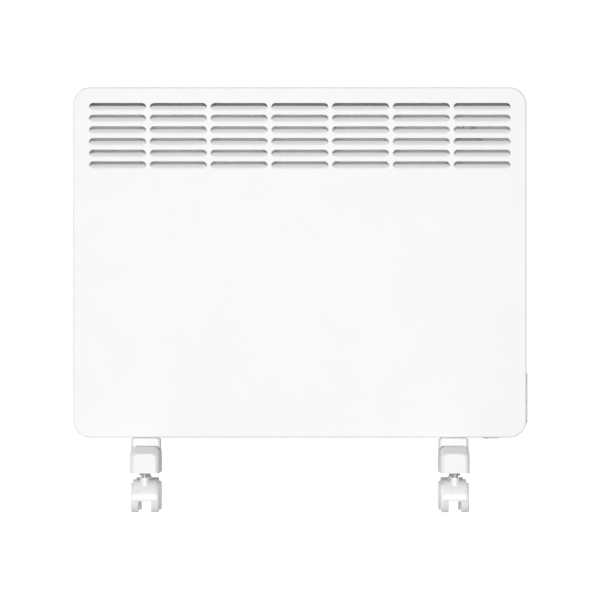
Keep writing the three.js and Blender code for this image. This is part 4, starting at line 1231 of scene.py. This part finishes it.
for side in foot_sides:
    fit(f"foot_{side}", foot_bar(side), white_pp, "heater", "white_plastic", f"foot_bar_{side}")
    low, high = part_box(f"foot_neck_{side}")
    skirt = low.z - neck_skirt
    inset, shoulder = neck_recess[0], high.z - neck_recess[1]
    neck = softened(neck_part("neck", side, 0, neck_radius, 8, skirt, shoulder), 0.25 * MM, 3)
    bar_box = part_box(f"foot_bar_{side}")
    neck = cut(neck, mesh_of("groove", bar_form(*bar_box, -neck_groove)))
    core = neck_part("core", side, neck_core, MM, 4, skirt, shoulder - MM)
    core = cut(core, mesh_of("seat", bar_form(*bar_box, -core_seat)))
    pad = neck_part("pad", side, inset, neck_radius - inset, 8, shoulder - MM, high.z)
    for name, shape in (("neck", neck), ("neck_core", core), ("neck_pad", pad)):
        fit(f"{name}_{side}", shape, white_pp, "heater", "white_plastic", f"foot_neck_{side}")
    dress(galvanised, f"foot_plate_{side}")
    dress(zinc_plate, f"foot_screw_{side}_front", f"foot_screw_{side}_rear")

# ------------------------------------------------------------------ castors
# Four twin-wheel castors with trailing axles. A zinc plated stem with a collar snaps into the bar; the
# nylon hood turns on it, and two nylon wheels run on a steel axle through the hood's web.

castor_trail = 12.5 * MM
axle_height = 19 * MM
hood_radius = 23.4 * MM
hood_wall = 2 * MM
hood_width = 29.4 * MM
hood_lip = 4.5 * MM
web_width = 14.6 * MM
hub_radius = 4.5 * MM
axle_bore = 2.6 * MM
axle_place = (castor_trail, axle_height)


def arc(middle, radius, start, stop, steps):
    """Points of an arc, its angles in degrees."""
    angles = [math.radians(start + (stop - start) * k / steps) for k in range(steps + 1)]
    return [(middle[0] + radius * math.cos(a), middle[1] + radius * math.sin(a)) for a in angles]


hood_front = 180 + math.degrees(math.asin(hood_lip / hood_radius))
hood_rear = 30
hood = softened(mesh_of("hood", plate(
    arc(axle_place, hood_radius, hood_rear, hood_front, 44)
    + arc(axle_place, hood_radius - hood_wall, hood_front, hood_rear, 44),
    [],
    -hood_width / 2,
    hood_width / 2,
    facing_side,
)), 0.7 * MM, 3)
web = softened(mesh_of("web", plate(
    arc(axle_place, hood_radius - MM, hood_rear, hood_front, 40) + arc(axle_place, hub_radius, 270, 360, 8),
    [circle(axle_place, axle_bore, 24)],
    -web_width / 2,
    web_width / 2,
    facing_side,
)), 0.3 * MM, 2)
boss_top = 44.5 * MM
boss_foot = boss_top - 14.8 * MM
boss_radius = 5.6 * MM
boss = mesh_of("boss", turned([
    (4.0 * MM, boss_foot),
    (4.0 * MM, boss_top - 0.3 * MM),
    (4.3 * MM, boss_top),
    (boss_radius - 0.6 * MM, boss_top),
    (boss_radius - 0.15 * MM, boss_top - 0.2 * MM),
    (boss_radius, boss_top - 0.7 * MM),
    (boss_radius, boss_foot),
], 48, upright))
stem = mesh_of("stem", turned([
    (0, 30 * MM),
    (3.3 * MM, 30 * MM),
    (3.9 * MM, 30.6 * MM),
    (3.9 * MM, 47.3 * MM),
    (6.3 * MM, 47.3 * MM),
    (6.7 * MM, 47.7 * MM),
    (6.7 * MM, 49.3 * MM),
    (6.3 * MM, 49.7 * MM),
    (3.9 * MM, 49.7 * MM),
    (3.9 * MM, 69 * MM),
    (2.9 * MM, 70 * MM),
    (0, 70 * MM),
], 40, upright))


def wheel(side):
    """A wheel with a crowned tread, rounded edges, a dished outer face and a flush hub cap."""
    tread = arc((16.5 * MM, 15.6 * MM), 2.5 * MM, 90, 0, 7)
    profile = [
        (0, 17.7 * MM),
        (6.2 * MM, 17.7 * MM),
        (6.7 * MM, 17.5 * MM),
        (6.9 * MM, 17.0 * MM),
        (7.3 * MM, 16.9 * MM),
        (13.6 * MM, 16.5 * MM),
        (14.3 * MM, 16.7 * MM),
        (14.9 * MM, 17.7 * MM),
        (15.4 * MM, 18.0 * MM),
        *tread,
        (19.0 * MM, 9.6 * MM),
        (18.7 * MM, 8.5 * MM),
        (18.0 * MM, 8.0 * MM),
        (axle_bore, 8.0 * MM),
        (axle_bore, 16.9 * MM),
        (0, 16.9 * MM),
    ]
    return mesh_of("wheel", turned(
        profile, 72, lambda u, v, w: Vector((side * w, castor_trail + u, axle_height + v))
    ), 26)


def moved(mesh, offset):
    """A copy of the mesh, shifted."""
    copy = mesh.copy()
    copy.transform(Matrix.Translation(offset))
    return copy


# White polyamide 6: a little smoother and glossier than the feet, with faint tool marks; the
# wheels' treads are scuffed grey in short patches where they have rolled.
white_nylon, tree, shader, place = new_finish("white_polyamide", "#F7F7F9", 0.4, {"IOR": 1.53})
skin = add_node(tree, "ShaderNodeTexNoise", {"Scale": 1 / (1.2 * MM), "Detail": 3.0}, {"Vector": place})
scuff = add_node(tree, "ShaderNodeTexNoise", {"Scale": 1 / (7 * MM), "Detail": 5.0}, {"Vector": place})
worn = add_node(
    tree, "ShaderNodeMapRange", {"From Min": 0.56, "From Max": 0.72}, {"Value": scuff.outputs["Fac"]}
)
vary(shader, worn.outputs[0], ("#F8F8FA", "#F0F0F1"), skin.outputs["Fac"], (0.32, 0.46))

# The castors' stems are zinc plated in the barrel and passivated: dull, clouded in patches of 3 mm.
dull_zinc, tree, shader, place = new_finish("barrel_plated_steel", "#C1C3C5", 0.62, {"Metallic": 1.0})
cloud = add_node(tree, "ShaderNodeTexNoise", {"Scale": 1 / (3 * MM), "Detail": 3.0}, {"Vector": place})
vary(shader, cloud.outputs["Fac"], ("#B7B9BC", "#CBCDCF"), cloud.outputs["Fac"], (0.54, 0.7))

wheels = {"left": wheel(-1), "right": wheel(1)}
for side in foot_sides:
    for end in ("front", "rear"):
        castor = f"castor_{end}_{side}"
        low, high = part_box(castor + "_stem")
        swivel = Vector(((low.x + high.x) / 2, (low.y + high.y) / 2, 0))
        fit(castor + "_pin", moved(stem, swivel), dull_zinc, "heater", "bright_steel", castor + "_stem")
        for part, shape in (("cap", hood), ("web", web), ("boss", boss)):
            own = moved(shape, swivel)
            fit(f"{castor}_{part}", own, white_nylon, castor, "white_nylon", castor + "_hood")
        for hand, shape in wheels.items():
            node = f"{castor}_wheel_{hand}"
            fit(f"{castor}_roller_{hand}", moved(shape, swivel), white_nylon, node, "white_nylon", node)
        dress(zinc_plate, castor + "_axle")

# ------------------------------------------------------------------ studio
# A pale floor that runs out of sight, soft light from the front and a little from the left, and a
# long lens set low and far off, with the picture shifted up as in the photograph.

floor_mesh = bpy.data.meshes.new("studio_floor")
floor_reach = 40.0
floor_mesh.from_pydata(
    [(-floor_reach, -floor_reach, 0), (floor_reach, -floor_reach, 0), (floor_reach, floor_reach, 0),
     (-floor_reach, floor_reach, 0)],
    [],
    [(0, 1, 2, 3)],
)
floor = carrier("studio_floor", floor_mesh)
pale_floor, tree, shader, place = new_finish(
    "pale_studio_floor", "#FAFAFA", 0.8, {"Emission Color": (1, 1, 1, 1), "Emission Strength": 0.75}
)
floor_mesh.materials.append(pale_floor)
floor.visible_diffuse = False
floor.visible_glossy = False

air_in_front = 0.22
air_behind = 0.58
air_on_left = 0.45
world = bpy.data.worlds.new("studio_air")
bpy.context.scene.world = world
world.use_nodes = True
tree = world.node_tree
tree.nodes.clear()
# The air is dim in front, brighter towards the white backdrop, and has a glow from the left.
towards = add_node(tree, "ShaderNodeTexCoord")
direction = add_node(tree, "ShaderNodeSeparateXYZ", None, {0: towards.outputs["Generated"]})
depth_glow = add_node(
    tree,
    "ShaderNodeMapRange",
    {"From Min": -0.15, "From Max": 0.15, "To Min": air_in_front, "To Max": air_behind},
    {"Value": direction.outputs["Y"]},
)
side_glow = add_node(
    tree,
    "ShaderNodeMapRange",
    {"From Min": 0.0, "From Max": -1.0, "To Min": 0.0, "To Max": air_on_left},
    {"Value": direction.outputs["X"]},
)
glow = add_node(
    tree, "ShaderNodeMath", {"operation": "ADD"}, {0: depth_glow.outputs[0], 1: side_glow.outputs[0]}
)
fill = add_node(tree, "ShaderNodeBackground", {"Color": (1, 1, 1, 1)}, {"Strength": glow.outputs[0]})
backdrop = add_node(tree, "ShaderNodeBackground", {"Color": (1, 1, 1, 1), "Strength": 1.05})
seen = add_node(tree, "ShaderNodeLightPath")
sky = add_node(tree, "ShaderNodeMixShader", None, {
    0: seen.outputs["Is Camera Ray"], 1: fill.outputs[0], 2: backdrop.outputs[0],
})
add_node(tree, "ShaderNodeOutputWorld", None, {"Surface": sky.outputs[0]})


def soft_light(name, place, aim, size, power):
    """A square area light turned towards a point."""
    lamp = bpy.data.lights.new(name, "AREA")
    lamp.shape = "RECTANGLE"
    lamp.size, lamp.size_y = size
    lamp.energy = power
    holder = bpy.data.objects.new(name, lamp)
    bpy.context.scene.collection.objects.link(holder)
    holder.location = place
    holder.rotation_euler = (Vector(aim) - Vector(place)).to_track_quat("-Z", "Y").to_euler()
    return lamp


soft_light("key_light", (-0.08, -4.8, 0.38), (0.0, 0.0, 0.25), (1.5, 0.8), 144)

camera_away = 10.1
camera_height = 0.179
camera_data = bpy.data.cameras.new("camera")
camera_data.sensor_width = 36
camera_data.lens = 472
camera_data.shift_x = 0.0003
camera_data.shift_y = 0.1205
camera = bpy.data.objects.new("camera", camera_data)
bpy.context.scene.collection.objects.link(camera)
camera.location = (0, front_y - camera_away, camera_height)
camera.rotation_euler = (math.pi / 2, 0, 0)
bpy.context.scene.camera = camera
bpy.context.scene.view_settings.view_transform = "Standard"
bpy.context.scene.view_settings.look = "None"
